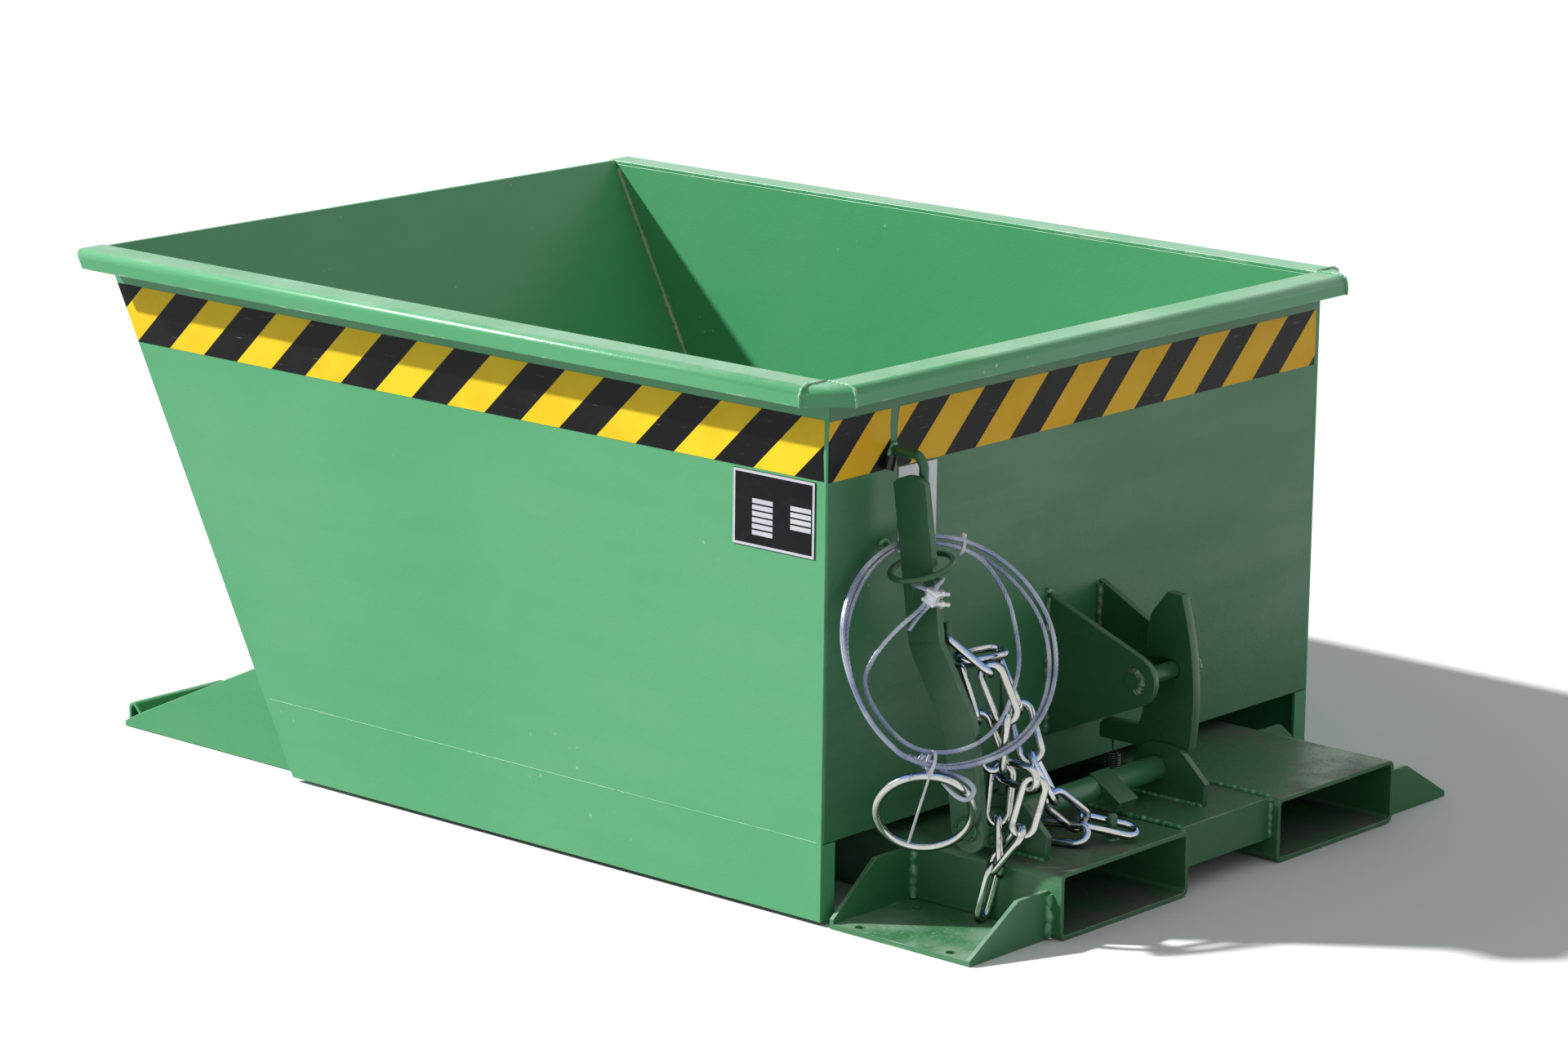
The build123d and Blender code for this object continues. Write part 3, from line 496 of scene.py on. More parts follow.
def makeHazard(name, strip):
    tree, shader, place = startMaterial(name)
    slope = [0.0, 0.0, -strip["lean"] / strip["period"]]
    slope[strip["axis"]] = 1 / strip["period"]
    phase = (strip["lean"] * hazard["level"] - strip["start"]) / strip["period"] + hazard["countFrom"]
    band = maths(tree, "FRACT", maths(tree, "ADD", dot(tree, place, slope), phase))
    onYellow = maths(tree, "LESS_THAN", band, strip["share"])
    faded = ramp(tree, noise(tree, place, hazard["patternScale"], 5.0, 0.65), 0.40, 0.72)
    rubbed = noise(tree, stretched(tree, place, hazard["scratchStretch"]), hazard["patternScale"], 4.0)
    scratch = maths(tree, "MULTIPLY", ramp(tree, rubbed, 0.66, 0.74), hazard["scratchShare"])
    yellow = mixColour(tree, faded, strip["yellow"], strip["oldYellow"])
    black = mixColour(tree, faded, hazard["black"], hazard["oldBlack"])
    banded = mixColour(tree, onYellow, black, yellow)
    tree.links.new(mixColour(tree, scratch, banded, hazard["scratch"]), shader["Base Color"])
    tree.links.new(ramp(tree, faded, 0.0, 1.0, *hazard["rough"]), shader["Roughness"])
    shader["Specular IOR Level"].default_value = hazard["gloss"]
    weave = noise(tree, stretched(tree, place, hazard["weaveStretch"]), hazard["weaveScale"])
    relief = maths(tree, "ADD", weave, maths(tree, "MULTIPLY", faded, hazard["fadeRelief"]))
    bumpInto(tree, shader, relief, hazard["bump"])


for stripName, strip in hazardStrips.items():
    makeHazard(stripName, strip)
print("finishes made:", len(finishes))


# CAD pieces keep their shape and get their finish, with their sharp edges eased
edgeEase = {"join": 0.00002, "flat": math.radians(0.5), "width": 0.0009, "segments": 2, "angle": math.radians(32)}
paintOf = {"trough": "troughPaint", "base": "basePaint", "latch": "latchPaintWithPaintedShadeAndHighlight", "lock_ring": "latchPaintWithPaintedShadeAndHighlight"}
ownFinish = {
    "latchPaintWithPaintedShadeAndHighlight": ("latch_pin", "lock_rod", "latch_bracket_left", "latch_bracket_right", "bearing_bracket_left",
                   "bearing_bracket_right", "chain_peg", "chain_anchor", "spring_anchor"),
    "trayPaintWithPaintedShade": ("rear_tray_left", "rear_tray_right"),
    "rearPaintWithPaintedShade": ("rear_wall", "latch_shaft"),
    "rimPaintWithPaintedHighlight": ("rim_left", "rim_right", "rim_rear", "rim_corner_left", "rim_corner_right"),
    "pocketPaintWithPaintedShade": ("fork_pocket_left", "fork_pocket_right", "rear_cross_member"),
    "pinSteel": ("hinge_pin_left", "hinge_pin_right"),
    "zincPaintedReflection": ("safety_chain", "pull_ring"),
    "plateBlack": ("name_plate",),
}
finishOf = {name: finish for finish, names in ownFinish.items() for name in names}
bentPlates = {"release_lever"}  # their concave faces stay in triangles
roundPieces = {"safety_chain", "pull_ring", "lock_ring", "release_rope", "return_spring"}


def dressNode(name, node):
    node.data.materials.clear()
    node.data.materials.append(finishes[finishOf.get(name, paintOf[node["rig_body"]])])
    if name in roundPieces:
        return
    weld = node.modifiers.new("joinCorners", "WELD")
    weld.merge_threshold = edgeEase["join"]
    if name not in bentPlates:
        flat = node.modifiers.new("joinFlats", "DECIMATE")
        flat.decimate_type = "DISSOLVE"
        flat.angle_limit = edgeEase["flat"]
    ease = node.modifiers.new("easeEdges", "BEVEL")
    ease.width = edgeEase["width"]
    ease.segments = edgeEase["segments"]
    ease.limit_method = "ANGLE"
    ease.angle_limit = edgeEase["angle"]
    ease.harden_normals = True


for nodeName, node in nodes.items():
    dressNode(nodeName, node)
print("CAD pieces dressed")


# new pieces, each smooth up to its own angle between faces, in degrees
smooth = {"flat": 30.0, "turned": 40.0, "wire": 50.0, "bent": 60.0, "bead": 70.0}


def addPiece(name, mesh, finish, body, smoothAngle):
    piece = linked(name, mesh)
    mesh.materials.clear()
    mesh.materials.append(finishes[finish])
    mesh.polygons.foreach_set("use_smooth", [True] * len(mesh.polygons))
    mesh.set_sharp_from_angle(angle=math.radians(smoothAngle))
    if body:
        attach(piece, body)
    return piece


def vertsOf(geom):
    return [g for g in geom if isinstance(g, bmesh.types.BMVert)]


def edgesOf(verts):
    return list({e for v in verts for e in v.link_edges})


def openEdges(geom):
    return [g for g in geom if isinstance(g, bmesh.types.BMEdge) and len(g.link_faces) == 1]


def addSpline(data, points, resolution):
    spline = data.splines.new("NURBS")
    spline.points.add(len(points) - 1)
    for point, co in zip(spline.points, points):
        point.co = (*co, 1.0)
    spline.order_u = 3
    spline.use_endpoint_u = True
    spline.resolution_u = resolution
    return spline


def newCurve(name, dimensions="3D"):
    data = bpy.data.curves.new(name, "CURVE")
    data.dimensions = dimensions
    return data


def bakedMesh(curve):
    bpy.context.view_layer.update()
    return bpy.data.meshes.new_from_object(curve.evaluated_get(bpy.context.evaluated_depsgraph_get()))


pointsPerStrand = 6


def strandProfile(name, wire):  # a ring of strands as one closed outline
    data = newCurve(name, "2D")
    spline = data.splines.new("POLY")
    count = wire["strands"] * pointsPerStrand
    spline.points.add(count - 1)
    for i, point in enumerate(spline.points):
        angle = 2 * math.pi * i / count
        bulge = wire["radius"] * (1 - wire["relief"] * (1 - abs(math.cos(wire["strands"] * angle / 2))))
        point.co = (bulge * math.cos(angle), bulge * math.sin(angle), 0, 1)
    spline.use_cyclic_u = True
    return linked(name, data)


def sweptWire(name, points, wire):  # the wire's mesh and its middle line
    data = newCurve(name + "Route")
    spline = addSpline(data, points, wire["resolution"])
    curve = linked(name + "Route", data)
    line = [v.co.copy() for v in bakedMesh(curve).vertices]
    run = 0.0
    for i, point in enumerate(spline.points):
        if i:
            run += (points[i] - points[i - 1]).length
        point.tilt = 2 * math.pi * run / wire["lay"]
    profile = strandProfile(name + "Profile", wire)
    data.bevel_mode = "OBJECT"
    data.bevel_object = profile
    data.use_fill_caps = True
    mesh = bakedMesh(curve)
    groove = mesh.attributes.new("groove", "FLOAT", "POINT")  # how far each point lies in from the strands' crests
    around = len(mesh.vertices) // len(line)
    for i, vert in enumerate(mesh.vertices):
        groove.data[i].value = 1 - (vert.co - line[min(i // around, len(line) - 1)]).length / wire["radius"]
    for spent in (curve, profile):
        bpy.data.objects.remove(spent)
    return mesh, line


def squareTo(facing, axis):  # the part of a direction that is square to an axis
    return (facing - axis * facing.dot(axis)).normalized()


def outsideOf(step):  # a spline round a circle runs inside its points
    return 1 / (0.75 + 0.25 * math.cos(step))


# release rope: bare end, clip, lever's eye, clip again, three hand turns, ferrule and eye on the pull ring
rope = {
    "radius": 0.0025, "strands": 6, "relief": 0.22, "lay": 0.034, "resolution": 12,
    "length": 2.68,
    "turns": (  # radii every eighth of a turn, from the left, down and round
        (99.3, 106.8, 93, 80, 85, 114.5, 116.5, 108),
        (107.3, 117, 108.6, 114.4, 120.3, 118, 117, 112.8),
        (110.7, 119.3, 112.5, 117.7, 127.4, 124.5, 120.2, 117.8),
        (113.8, 121.8),
    ),
    "depth": (
        (0, 0, 0, 1.5, 4, 1, 0, -2.5),
        (-5, -5, -1, 3.5, 2, -4, -5.2, -2.5),
        (0, 0, 4, 8.5, 5, 1.5, 3.8, 4),
        (4.5, 5),
    ),
    "centre": (75.0, -316.5, 276.0),
    "across": (0.25, 0.958, 0.141),
    "up": (-0.49, 0.0, 0.872),
    "pointsPerTurn": 16,
    "lead": (
        (44, -334.5, 300), (53.5, -336, 313.5), (72, -336.5, 331.5), (76.5, -334.5, 344.5), (77, -334, 350),
        (75.5, -321, 354), (66, -312, 351), (47.9, -314, 346.2), (45.9, -326.5, 345.6), (47.5, -335, 346.5),
        (57, -339, 347.5), (69.5, -337.5, 346), (67.5, -338, 332.5), (57, -341.5, 320), (46.5, -352, 307.3),
        (42.2, -371, 293), (42.4, -389, 279.6),
    ),
}
pullEye = {
    "centre": (90.0, -362.0, 127.0), "across": (0.755, 0.656, 0.0), "up": (0.293, -0.337, 0.895),  # the ring's
    "r": 48.0, "angle": 48.0, "tilt": 38.0, "viewer": (0.638, -0.734, 0.230),
    "ferrule": (48.0, 30.0), "step": 2.9, "tail": 9.0, "spread": 6.0,
    "bend": 8.2, "reach": 7.0, "wide": 1.12, "narrow": 0.6, "nose": 1.25, "shoulder": 0.35, "neck": 8.0,
}


def coilAxes():
    across, up = Vector(rope["across"]).normalized(), Vector(rope["up"]).normalized()
    return across, up, across.cross(up)


def coilRoute():
    centre = Vector(rope["centre"])
    across, up, away = coilAxes()
    radii = [r for turn in rope["turns"] for r in turn]
    depths = [h for turn in rope["depth"] for h in turn]
    step = 2 * math.pi / rope["pointsPerTurn"]
    points = []
    for i in range(2 * len(radii) - 1):
        r = outsideOf(step) * (radii[i // 2] + radii[(i + 1) // 2]) / 2
        h = (depths[i // 2] + depths[(i + 1) // 2]) / 2
        points.append(centre - across * (r * math.cos(i * step)) - up * (r * math.sin(i * step)) + away * h)
    return points


def pullEyeRoute():  # out through the ferrule, round the ring's bar and back
    eye = pullEye
    angle, tilt = math.radians(eye["angle"]), math.radians(eye["tilt"])
    across, up, viewer = (Vector(eye[key]) for key in ("across", "up", "viewer"))
    crossing = Vector(eye["centre"]) + across * (eye["r"] * math.cos(angle)) + up * (eye["r"] * math.sin(angle))
    bar = across * math.sin(angle) - up * math.cos(angle)
    viewer = squareTo(viewer, bar)
    along = bar * math.cos(tilt) + viewer * math.sin(tilt)
    side = viewer.cross(bar)
    back, front = (crossing - along * reach for reach in eye["ferrule"])
    turn = crossing + along * eye["reach"]
    step, bend = side * eye["step"], side * eye["bend"]
    wide, narrow = bend * eye["wide"], bend * eye["narrow"]
    nose, neck, spread = along * (eye["bend"] * eye["nose"]), along * eye["neck"], along * eye["spread"]
    shoulder = nose * eye["shoulder"]
    return [back - step - along * eye["tail"], back - step, front - step, front - step + spread,
            turn - wide - neck, turn - wide + shoulder, turn - narrow + nose,
            turn + narrow + nose, turn + wide + shoulder, turn + wide - neck,
            front + step + spread, front + step, back + step]


ropeRoute = [spot(*p) for p in (*rope["lead"], *coilRoute(), *pullEyeRoute())]
ropeMesh, ropeLine = sweptWire("releaseRope", ropeRoute, rope)
ropePiece = addPiece("releaseRope", ropeMesh, "ropeWire", "latch", smooth["wire"])
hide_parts("release_rope")
ropeRun = sum((b - a).length for a, b in zip(ropeLine, ropeLine[1:]))
print("release rope:", len(ropeRoute), "route points,", round(ropeRun, 3), "m")

# return spring under the hook's arm
spring = {
    "radius": 0.001, "strands": 2, "relief": 0.0, "lay": 1.0, "resolution": 6,
    "place": (35.0, 15.0), "r": 7.5, "turns": 8, "perTurn": 12,
    "ends": (74.5, 115.7), "coil": (79.5, 100.5), "endStep": 2.2, "coilStep": 2.5, "bends": (78.0, 113.0),
}


def springRoute():
    d, y = spring["place"]
    low, high = spring["coil"]
    foot, head = spring["ends"]
    count = spring["turns"] * spring["perTurn"]
    r = outsideOf(2 * math.pi / spring["perTurn"]) * spring["r"]
    points = [spot(d, y, z) for z in (foot, foot + spring["endStep"], low - spring["coilStep"])]
    for i in range(count + 1):
        angle = 2 * math.pi * i / spring["perTurn"]
        points.append(spot(d + r * math.cos(angle), y + r * math.sin(angle), low + (high - low) * i / count))
    return points + [spot(d, y, z) for z in (high + spring["coilStep"], head - spring["endStep"], head)]


springMesh = sweptWire("returnSpring", springRoute(), spring)[0]
springPiece = addPiece("returnSpring", springMesh, "springWire", None, smooth["wire"])
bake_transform(springPiece)
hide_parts("return_spring")
print("return spring:", len(springMesh.polygons), "faces")


# turned and bent small parts
def turned(bm, home, profile, segments, flat=1.0):  # rings of (radius, height) joined in order
    def placed(r, h):
        return home @ Matrix.Translation((0, 0, h)) @ Matrix.Diagonal((r, r * flat, 1, 1))

    ring = bmesh.ops.create_circle(bm, cap_ends=True, segments=segments, radius=1.0, matrix=placed(*profile[0]))
    edges = edgesOf(ring["verts"])
    for before, after in zip(profile, profile[1:]):
        made = bmesh.ops.extrude_edge_only(bm, edges=edges)["geom"]
        edges = openEdges(made)
        bmesh.ops.transform(bm, matrix=placed(*after) @ placed(*before).inverted(), verts=vertsOf(made))
    bmesh.ops.contextual_create(bm, geom=edges)
    bmesh.ops.recalc_face_normals(bm, faces=bm.faces)


def softBlock(bm, home, size, edge, segments=2):
    made = bmesh.ops.create_cube(bm, size=1.0, matrix=home @ Matrix.Diagonal((*size, 1)))
    bmesh.ops.bevel(bm, geom=edgesOf(made["verts"]), offset=edge, segments=segments, affect="EDGES", profile=0.5,
                    material=-1)


def homeAt(origin, zAxis, xAxis):
    z = Vector(zAxis).normalized()
    x = squareTo(Vector(xAxis), z)
    return Matrix.Translation(origin) @ Matrix((x, z.cross(x), z)).transposed().to_4x4()


# rope clip: saddle round both strands, two studs with nuts pointing past the lever's edge
clip = {
    "centre": (73.5, -335.5, 338.5), "down": (-0.4, -0.12, -0.909), "across": (0.909, 0.1, -0.413),
    "studs": (0.322, 0.909, -0.16), "apart": (0.05, -0.1, 1.0), "gap": 0.0054, "studOut": 0.0030,
    "saddle": (0.0140, 0.0115, 0.0175), "saddleEdge": 0.0034, "band": (0.0162, 0.0132, 0.0050), "bandEdge": 0.0019,
    "studR": 0.0022, "shank": (-0.002, 0.0098), "tip": (0.0013, 0.0174),
    "threads": 20, "threadFrom": 0.0100, "pitch": 0.00035, "root": 0.88,
    "around": 14, "nutSides": 6, "edgeSteps": 3, "nutR": 0.0043,
    "nut": ((0.92, 0.0062), (1.0, 0.0066), (1.0, 0.0092), (0.92, 0.0096)),
}


def makeClip():
    bm = bmesh.new()
    centre = spot(*clip["centre"])
    home = homeAt(centre, clip["down"], clip["across"])
    softBlock(bm, home, clip["saddle"], clip["saddleEdge"], clip["edgeSteps"])
    for side in bothSides:
        beside = home @ Matrix.Translation((0, 0, side * clip["gap"]))
        softBlock(bm, beside, clip["band"], clip["bandEdge"], clip["edgeSteps"])
    stud = [(clip["studR"], h) for h in clip["shank"]]
    stud += [(clip["studR"] * (1.0 if i % 2 else clip["root"]), clip["threadFrom"] + clip["pitch"] * i)
             for i in range(clip["threads"])]
    for side in bothSides:
        foot = centre + Vector(clip["across"]) * clip["studOut"] + Vector(clip["apart"]) * (side * clip["gap"])
        leg = homeAt(foot, clip["studs"], clip["down"])
        turned(bm, leg, [*stud, clip["tip"]], clip["around"])
        turned(bm, leg, [(clip["nutR"] * r, h) for r, h in clip["nut"]], clip["nutSides"])
    return meshFrom(bm, "ropeClip")


clipPiece = addPiece("ropeClip", makeClip(), "paleZinc", "latch", smooth["turned"])
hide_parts("rope_clip")

# safety chain: runs from the peg, down and over to the anchor, and their slack
chain = {
    "wire": 0.004, "inside": 0.052, "width": 0.030, "slack": 0.0005, "around": 12, "bendSteps": 9,
    "merge": 0.00001,
    "facings": {
        "open": (0.638, -0.734, 0.230), "edge": (0.753, 0.658, 0.012), "flat": (0.1, -0.3, 0.95),
        "lying": (0.15, -0.2, 0.97), "leaning": (0.45, -0.52, 0.73), "turned": (0.96, 0.15, 0.1),
    },
    "runs": (  # where each link points to, and which way its face looks
        {"start": (60, -299, 290), "towards": (1.0, 0.3, -0.55), "facing": "edge",
         "guides": (((97, -276, 256), "edge"), ((123, -272, 209), "open"), ((118, -276, 150), "edge"),
                    ((122, -288, 98), "open"), ((137, -297, 42), "edge"))},
        {"start": (72, -290, 267), "towards": (0.12, 0.99, 0.0), "facing": "flat",
         "guides": (((79, -232, 266), "flat"), ((108, -240, 215), "edge"), ((136, -244, 155), "open"),
                    ((142, -221, 122), "edge"), ((149, -178, 86), "open"), ((190, -141, 78), "lying"))},
        {"start": (72, -288, 261), "towards": (0.4, 0.0, -0.9), "facing": "edge",
         "guides": (((93, -287, 212), "edge"), ((112, -283, 168), "open"), ((166, -284, 158), "edge"),
                    ((156, -290, 104), "open"), ((120, -298, 56), "edge"), ((114, -304, -6), "turned"))},
        {"start": (166, -196, 82), "towards": (-0.95, -0.3, -0.02), "facing": "leaning",
         "guides": (((112, -215, 81), "leaning"),)},
    ),
}


def addLink(bm, first, axis, facing):  # a round bar out, round, back and round again
    bend = chain["width"] / 2 - chain["wire"]
    straight = chain["inside"] + 2 * chain["wire"] - 2 * bend
    home = homeAt(first + axis * (chain["inside"] / 2 + chain["wire"]), axis, axis.cross(facing))
    hinge = home.col[1].to_3d()
    ring = bmesh.ops.create_circle(bm, segments=chain["around"], radius=chain["wire"],
                                   matrix=home @ Matrix.Translation((bend, 0, -straight / 2)))
    edges = edgesOf(ring["verts"])
    for side in (1, -1):
        run = bmesh.ops.extrude_edge_only(bm, edges=edges)["geom"]
        bmesh.ops.translate(bm, verts=vertsOf(run), vec=axis * (straight * side))
        last = openEdges(run)
        geom = last + list({v for e in last for v in e.verts})
        made = bmesh.ops.spin(bm, geom=geom, cent=home @ Vector((0, 0, side * straight / 2)), axis=hinge,
                              dvec=(0, 0, 0), angle=-math.pi, steps=chain["bendSteps"], use_merge=False)
        edges = [g for g in made["geom_last"] if isinstance(g, bmesh.types.BMEdge)]


def addRun(bm, run):  # each link hangs in the end of the one before it
    wire = spot(*run["start"])
    axis = Vector(run["towards"]).normalized()
    facing = Vector(chain["facings"][run["facing"]])
    spacing = 2 * chain["wire"] + chain["slack"]
    for i, (guide, way) in enumerate(run["guides"]):
        goal = spot(*guide)
        nextFacing = Vector(chain["facings"][way])
        if i:
            towards = (goal - wire).normalized()
            ends = squareTo(facing, axis).cross(axis), squareTo(nextFacing, towards).cross(towards)
            apart = ends[0].cross(ends[1]).normalized()
            if apart.dot(axis + towards) < 0:
                apart = -apart
            wire = wire - apart * spacing
        axis = (goal - wire).normalized()
        facing = nextFacing
        addLink(bm, wire, axis, squareTo(facing, axis))
        wire = wire + axis * (chain["inside"] + 2 * chain["wire"])


def makeChain():
    bm = bmesh.new()
    for run in chain["runs"]:
        addRun(bm, run)
    bmesh.ops.remove_doubles(bm, verts=bm.verts, dist=chain["merge"])
    bmesh.ops.recalc_face_normals(bm, faces=bm.faces)
    return meshFrom(bm, "safetyChain")


chainPiece = addPiece("safetyChain", makeChain(), "zincPaintedReflection", "base", smooth["bent"])
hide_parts("safety_chain")
print("chain made:", sum(len(run["guides"]) for run in chain["runs"]), "links")

# crimped ferrule over both strands of the pull eye
ferrule = {"half": (4.2, 6.6), "around": 24, "crimps": 4, "crimpHalf": (0.0008, 0.0013), "pressed": 0.91,
           "mouth": 0.90, "lip": 0.0006}


def makeFerrule():
    bm = bmesh.new()
    line = pullEyeRoute()
    back, front = (spot(*((line[i] + line[j]) / 2)) for i, j in ((1, -1), (2, -2)))
    wide = spot(*line[-1]) - spot(*line[1])
    length = (front - back).length
    r = ferrule["half"][1] / 1000
    pressed, mouth = r * ferrule["pressed"], r * ferrule["mouth"]
    inner, outer = ferrule["crimpHalf"]
    rings = [(mouth, 0.0), (r, ferrule["lip"])]
    for i in range(ferrule["crimps"]):
        mid = length * (i + 0.5) / ferrule["crimps"]
        rings += [(r, mid - outer), (pressed, mid - inner), (pressed, mid + inner), (r, mid + outer)]
    rings += [(r, length - ferrule["lip"]), (mouth, length)]
    turned(bm, homeAt(back, front - back, wide), rings, ferrule["around"], ferrule["half"][0] / ferrule["half"][1])
    return meshFrom(bm, "ropeFerrule")


ferrulePiece = addPiece("ropeFerrule", makeFerrule(), "ropeWire", "latch", smooth["turned"])
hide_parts("rope_ferrule")
print("clip and ferrule made")

# cable ties round the coil
tie = {"width": 0.0034, "thick": 0.0010, "around": 28, "head": (0.0048, 0.0056, 0.0052), "headEdge": 0.0006,
       "headOut": 0.0016, "tail": (0.0026, 0.0009), "tailEdge": 0.0003, "tailFrom": 0.001}
ties = {
    "upper": {"angle": 236.0, "r": 118.8, "half": (9.2, 6.6), "in": 1.5, "tailLength": 0.003},
    "lower": {"angle": 58.2, "r": 112.5, "half": (11.5, 8.6), "in": 0.0, "tailEnd": (72.0, -364.0, 91.6)},
}


def makeTie(look):
    bm = bmesh.new()
    across, up, away = coilAxes()
    turn = math.radians(look["angle"])
    out = -across * math.cos(turn) - up * math.sin(turn)
    along = across * math.sin(turn) - up * math.cos(turn)
    home = homeAt(spot(*(Vector(rope["centre"]) + out * look["r"] - away * look["in"])), along, out)
    long, short = (h / 1000 for h in look["half"])
    hoop = home @ Matrix.Translation((0, 0, -tie["width"] / 2)) @ Matrix.Diagonal((long, short, 1, 1))
    ring = bmesh.ops.create_circle(bm, segments=tie["around"], radius=1.0, matrix=hoop)
    made = bmesh.ops.extrude_edge_only(bm, edges=edgesOf(ring["verts"]))["geom"]
    bmesh.ops.translate(bm, verts=vertsOf(made), vec=along * tie["width"])
    bmesh.ops.solidify(bm, geom=bm.faces[:], thickness=tie["thick"])
    head = home @ Matrix.Translation((long + tie["headOut"], 0, 0))
    softBlock(bm, head, tie["head"], tie["headEdge"])
    start = head @ Vector((tie["tailFrom"], 0, 0))
    end = spot(*look["tailEnd"]) if "tailEnd" in look else start + out * look["tailLength"]
    tail = homeAt((start + end) / 2, end - start, along)
    softBlock(bm, tail, (*tie["tail"], (end - start).length), tie["tailEdge"])
    bmesh.ops.recalc_face_normals(bm, faces=bm.faces)
    return meshFrom(bm, "cableTie")


for tieName, look in ties.items():
    addPiece("cableTie_" + tieName, makeTie(look), "nylon", "latch", smooth["turned"])
print("cable ties made")

# hazard tape on both sides and across the rear wall, cut by hand round the lock rod
tape = {
    "thick": 0.0004, "sideFace": 413.0,
    "side": ((-998.5, 455.5), (-1031.2, 517.0), (-3.4, 517.0), (-2.6, 500.0), (-4.4, 482.0), (-3.0, 455.5)),
    "rearOne": ((-410.0, 454.0), (-410.4, 486.0), (-409.6, 515.0), (-316.0, 515.0), (-317.4, 500.0), (-316.6, 486.0),
                (-316.0, 478.0), (-321.0, 470.0), (-326.0, 454.0)),
    "rearTwo": ((-304.6, 454.0), (-305.8, 470.0), (-306.2, 486.0), (-305.4, 500.0), (-302.6, 515.0), (405.0, 515.0),
                (405.4, 480.0), (404.6, 454.0)),
}
flap = {"ends": ((-326.0, 455.0), (-318.0, 478.0)), "off": 0.6, "r": 0.0058, "turn": math.radians(165.0)}
curlSteps = 10


def thinPlate(corners, outward, thick):
    bm = bmesh.new()
    face = bm.faces.new([bm.verts.new(c) for c in corners])
    made = bmesh.ops.extrude_face_region(bm, geom=[face])["geom"]
    bmesh.ops.translate(bm, verts=vertsOf(made), vec=Vector(outward) * thick)
    bmesh.ops.recalc_face_normals(bm, faces=bm.faces)
    return bm


def curledSheet(name, low, high, r, turn, thick):  # an edge on the wall, spun away from it
    bm = bmesh.new()
    ends = [bm.verts.new(low), bm.verts.new(high)]
    edge = bm.edges.new(ends)
    bmesh.ops.spin(bm, geom=ends + [edge], cent=low + Vector((r, 0, 0)), axis=(high - low).normalized(),
                   dvec=(0, 0, 0), angle=-turn, steps=curlSteps, use_merge=False)
    bmesh.ops.solidify(bm, geom=bm.faces[:], thickness=thick)
    bmesh.ops.recalc_face_normals(bm, faces=bm.faces)
    return meshFrom(bm, name)


def addTape(name, corners, outward, finish):
    addPiece(name, meshFrom(thinPlate(corners, outward, tape["thick"]), name), finish, "trough", smooth["flat"])


for sideName, side in (("left", -1), ("right", 1)):
    corners = [spot(d, side * tape["sideFace"], z) for d, z in tape["side"]]
    addTape("sideTape_" + sideName, corners, (0, side, 0), "sideHazard")
for part, strip in (("one", "One"), ("two", "Two")):
    corners = [spot(0, y, z) for y, z in tape["rear" + strip]]
    addTape("rearTape_" + part, corners, (1, 0, 0), "rearHazard" + strip)
flapEnds = [spot(flap["off"], *end) for end in flap["ends"]]
flapMesh = curledSheet("tapeFlap", *flapEnds, flap["r"], flap["turn"], tape["thick"])
addPiece("tapeFlap", flapMesh, "tapeBack", "trough", smooth["bent"])

# blank name plate: silver border and empty fields
plateMarks = {"d": (-121.0, -13.0), "z": (375.0, 453.0), "face": -414.2, "thick": 0.25, "border": 2.6, "inset": 0.6,
              "columns": ((0.24, 0.49, 6), (0.705, 0.953, 4)), "firstRow": 0.36, "rowStep": 0.083, "rowHeight": 0.06}


def makePlateMarks():
    bm = bmesh.new()
    marks = plateMarks

    def patch(d0, d1, z0, z1):
        a, b = spot(d0, marks["face"] - marks["thick"], z0), spot(d1, marks["face"], z1)
        bmesh.ops.create_cube(bm, size=1.0, matrix=Matrix.Translation((a + b) / 2) @ Matrix.Diagonal((*(b - a), 1)))

    (left, right), (low, high) = marks["d"], marks["z"]
    edge, line = marks["inset"], marks["inset"] + marks["border"]
    patch(left + edge, left + line, low + edge, high - edge)
    patch(right - line, right - edge, low + edge, high - edge)
    patch(left + line, right - line, low + edge, low + line)
    patch(left + line, right - line, high - line, high - edge)
    wide, tall = right - left, high - low
    for start, end, rows in marks["columns"]:
        for row in range(rows):
            top = high - tall * (marks["firstRow"] + marks["rowStep"] * row)
            patch(left + wide * start, left + wide * end, top - tall * marks["rowHeight"], top)
    return meshFrom(bm, "plateMarks")


addPiece("plateMarks", makePlateMarks(), "plateSilver", "trough", smooth["flat"])

# blank paper label on the rear wall, its free side curling away
label = {"y": (-303.0, -247.5), "z": (366.0, 453.0), "off": 0.4, "r": 0.42, "thick": 0.0003}
labelEdge = [spot(label["off"], label["y"][0], z) for z in label["z"]]
labelTurn = (label["y"][1] - label["y"][0]) / 1000 / label["r"]
labelMesh = curledSheet("paperLabel", *labelEdge, label["r"], labelTurn, label["thick"])
addPiece("paperLabel", labelMesh, "paper", "trough", smooth["bent"])
print("tape, plate marks and label made")


# weld beads
bead = {"step": 0.9, "shake": 0.12, "ripple": 0.35, "rippleEvery": 3, "size": (0.85, 1.12),  # in radii
        "jogSeed": 5, "sizeSeed": 3, "roundness": 2, "resolution": 2}


def beadRoute(route, radius, chance):
    points = [spot(*route[0])]
    shake = radius * bead["shake"]
    for a, b in zip(route, route[1:]):
        a, b = spot(*a), spot(*b)
        count = max(2, round((b - a).length / (radius * bead["step"])))
        for i in range(1, count + 1):
            jog = Vector([chance.uniform(-shake, shake) for axis in range(3)])
            points.append(a.lerp(b, i / count) + jog)
    return points


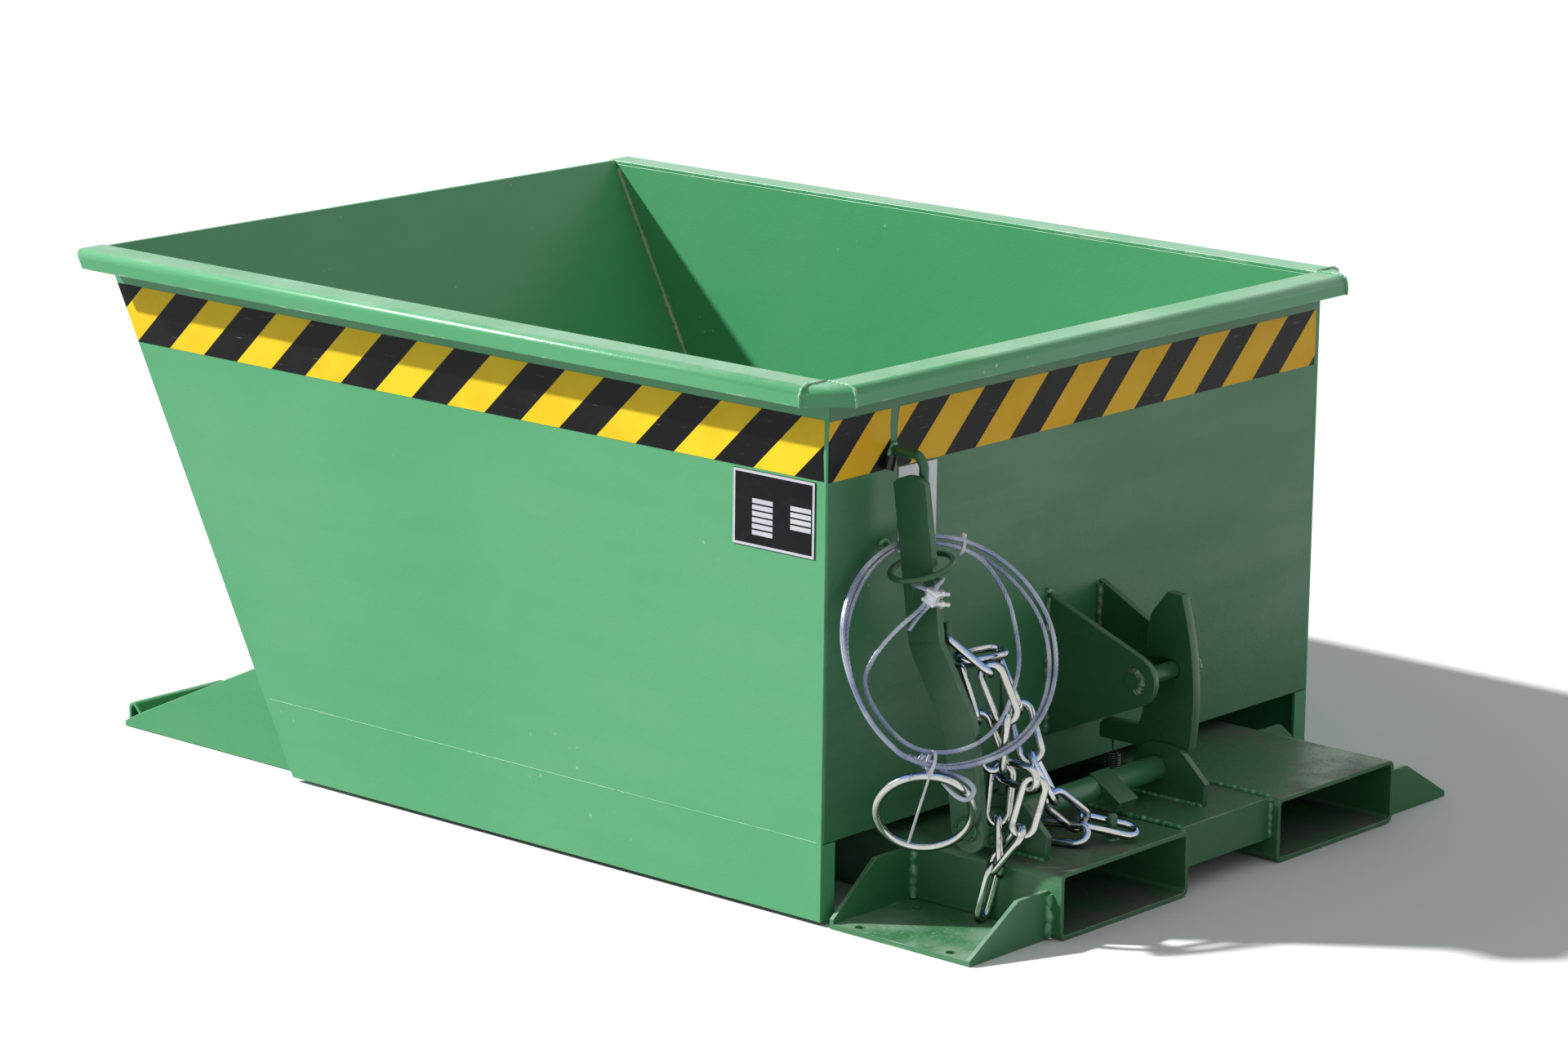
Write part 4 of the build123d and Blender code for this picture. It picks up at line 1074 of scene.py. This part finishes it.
def addWelds(name, finish, body, radius, routes, ripple=bead["ripple"]):
    jogs, sizes = random.Random(bead["jogSeed"]), random.Random(len(routes) + bead["sizeSeed"])
    data = newCurve(name)
    data.bevel_depth = radius
    data.bevel_resolution = bead["roundness"]
    data.use_fill_caps = True
    for route in routes:
        spline = addSpline(data, beadRoute(route, radius, jogs), bead["resolution"])
        for i, point in enumerate(spline.points):
            point.radius = (1.0 if i % bead["rippleEvery"] else 1.0 - ripple) * sizes.uniform(*bead["size"])
    curve = linked(name, data)
    mesh = bakedMesh(curve)
    bpy.data.objects.remove(curve)
    addPiece(name, mesh, finish, body, smooth["bead"])


def arcRoute(d, y, z, r, start, end, count=14):  # a bead round a bar along Y
    turns = [math.radians(start + (end - start) * i / count) for i in range(count + 1)]
    return [(d + r * math.cos(a), y, z + r * math.sin(a)) for a in turns]


def ringRoute(d, y, z, r):  # a bead round an upright stub
    return [(d + r * math.cos(a), y + r * math.sin(a), z) for a in (i * 0.5 for i in range(14))]


frontWall = {"foot": -760.0, "footZ": 4.0, "lean": 0.531}


def frontAt(z):  # outer face of the leaning front wall
    return frontWall["foot"] - frontWall["lean"] * (z - frontWall["footZ"])


rimFold = ((0.2, 535), (0.2, 547), (-2.6, 553.4), (-9, 556.2))  # out from the rim's side face, and height
addWelds("bracketWelds", "rustyWeld", "trough", 0.0044, [
    [(1.4, y, 130), (1.4, y, 275)] for y in (-58, -48, 29, 39)
])
addWelds("pinWelds", "rustyWeld", "trough", 0.0044, [arcRoute(114, y, 206, 11.0, -80, 130) for y in (-57.2, 38.2)])
addWelds("wallWelds", "greenWeld", "trough", 0.0028, [
    [(1.0, -320, 468), (2.4, -318.5, 475), (2.0, -315, 479.5), (1.2, -310, 478)],
    [(1.0, -332, 379), (3.0, -327, 384), (2.6, -323, 381), (1.0, -319, 377)],
    [(1.0, -60, 281), (2.6, -57, 283), (1.6, -53, 281)],
])
addWelds("rimSeams", "scuffedSeam", "trough", 0.0020, [
    *([(-4, s * (450 + out), z) for out, z in rimFold] + [(-4, s * 413, 556.2)] for s in bothSides),
    *([(35 + out, s * 411, z) for out, z in rimFold] + [(0, s * 411, 556.2)] for s in bothSides),
], 0.2)
addWelds("troughSeams", "innerSeam", "trough", 0.0036, [
    *([(frontAt(z) + 5.2, s * 408, z) for z in (92, 240, 400, 546)] for s in bothSides),
    *([(-5, s * 408, 92), (-5, s * 408, 546)] for s in bothSides),
], 0.12)
addWelds("floorMarks", "troughPaint", "trough", 0.0006, [
    [(-795, s * 412.75, 86), (-6, s * 412.75, 86)] for s in bothSides
], 0.0)
addWelds("trayWelds", "greenWeld", "base", 0.0054, [
    *([(17, s * 288.4, 57), (17, s * 288.4, 7)] for s in bothSides),
    *([(191, s * 288.6, 47), (191, s * 288.6, 3)] for s in bothSides),
], 0.2)
addWelds("crossWelds", "greenWeld", "base", 0.0032, [
    *([(196, s * 76, 27), (196, s * 76, 68)] for s in bothSides),
    *([(22, s * 77, 70.4), (194, s * 77, 70.4)] for s in bothSides),
])
addWelds("bearingWelds", "greenWeld", "base", 0.0026, [
    [(72, y, 70.8), (164, y, 70.8)] for y in (-263.2, -252.8, -1.2)
])
addWelds("anchorWeld", "greenWeld", "base", 0.0020, [ringRoute(168, -158, 70.8, 6.4)])
addWelds("latchWelds", "latchPaintWithPaintedShadeAndHighlight", "latch", 0.0020, [
    arcRoute(103, 8.2, 100, 14.2, 0, 360, 24), arcRoute(103, -313.2, 100, 12.0, 20, 330, 24),
])
print("weld beads laid")
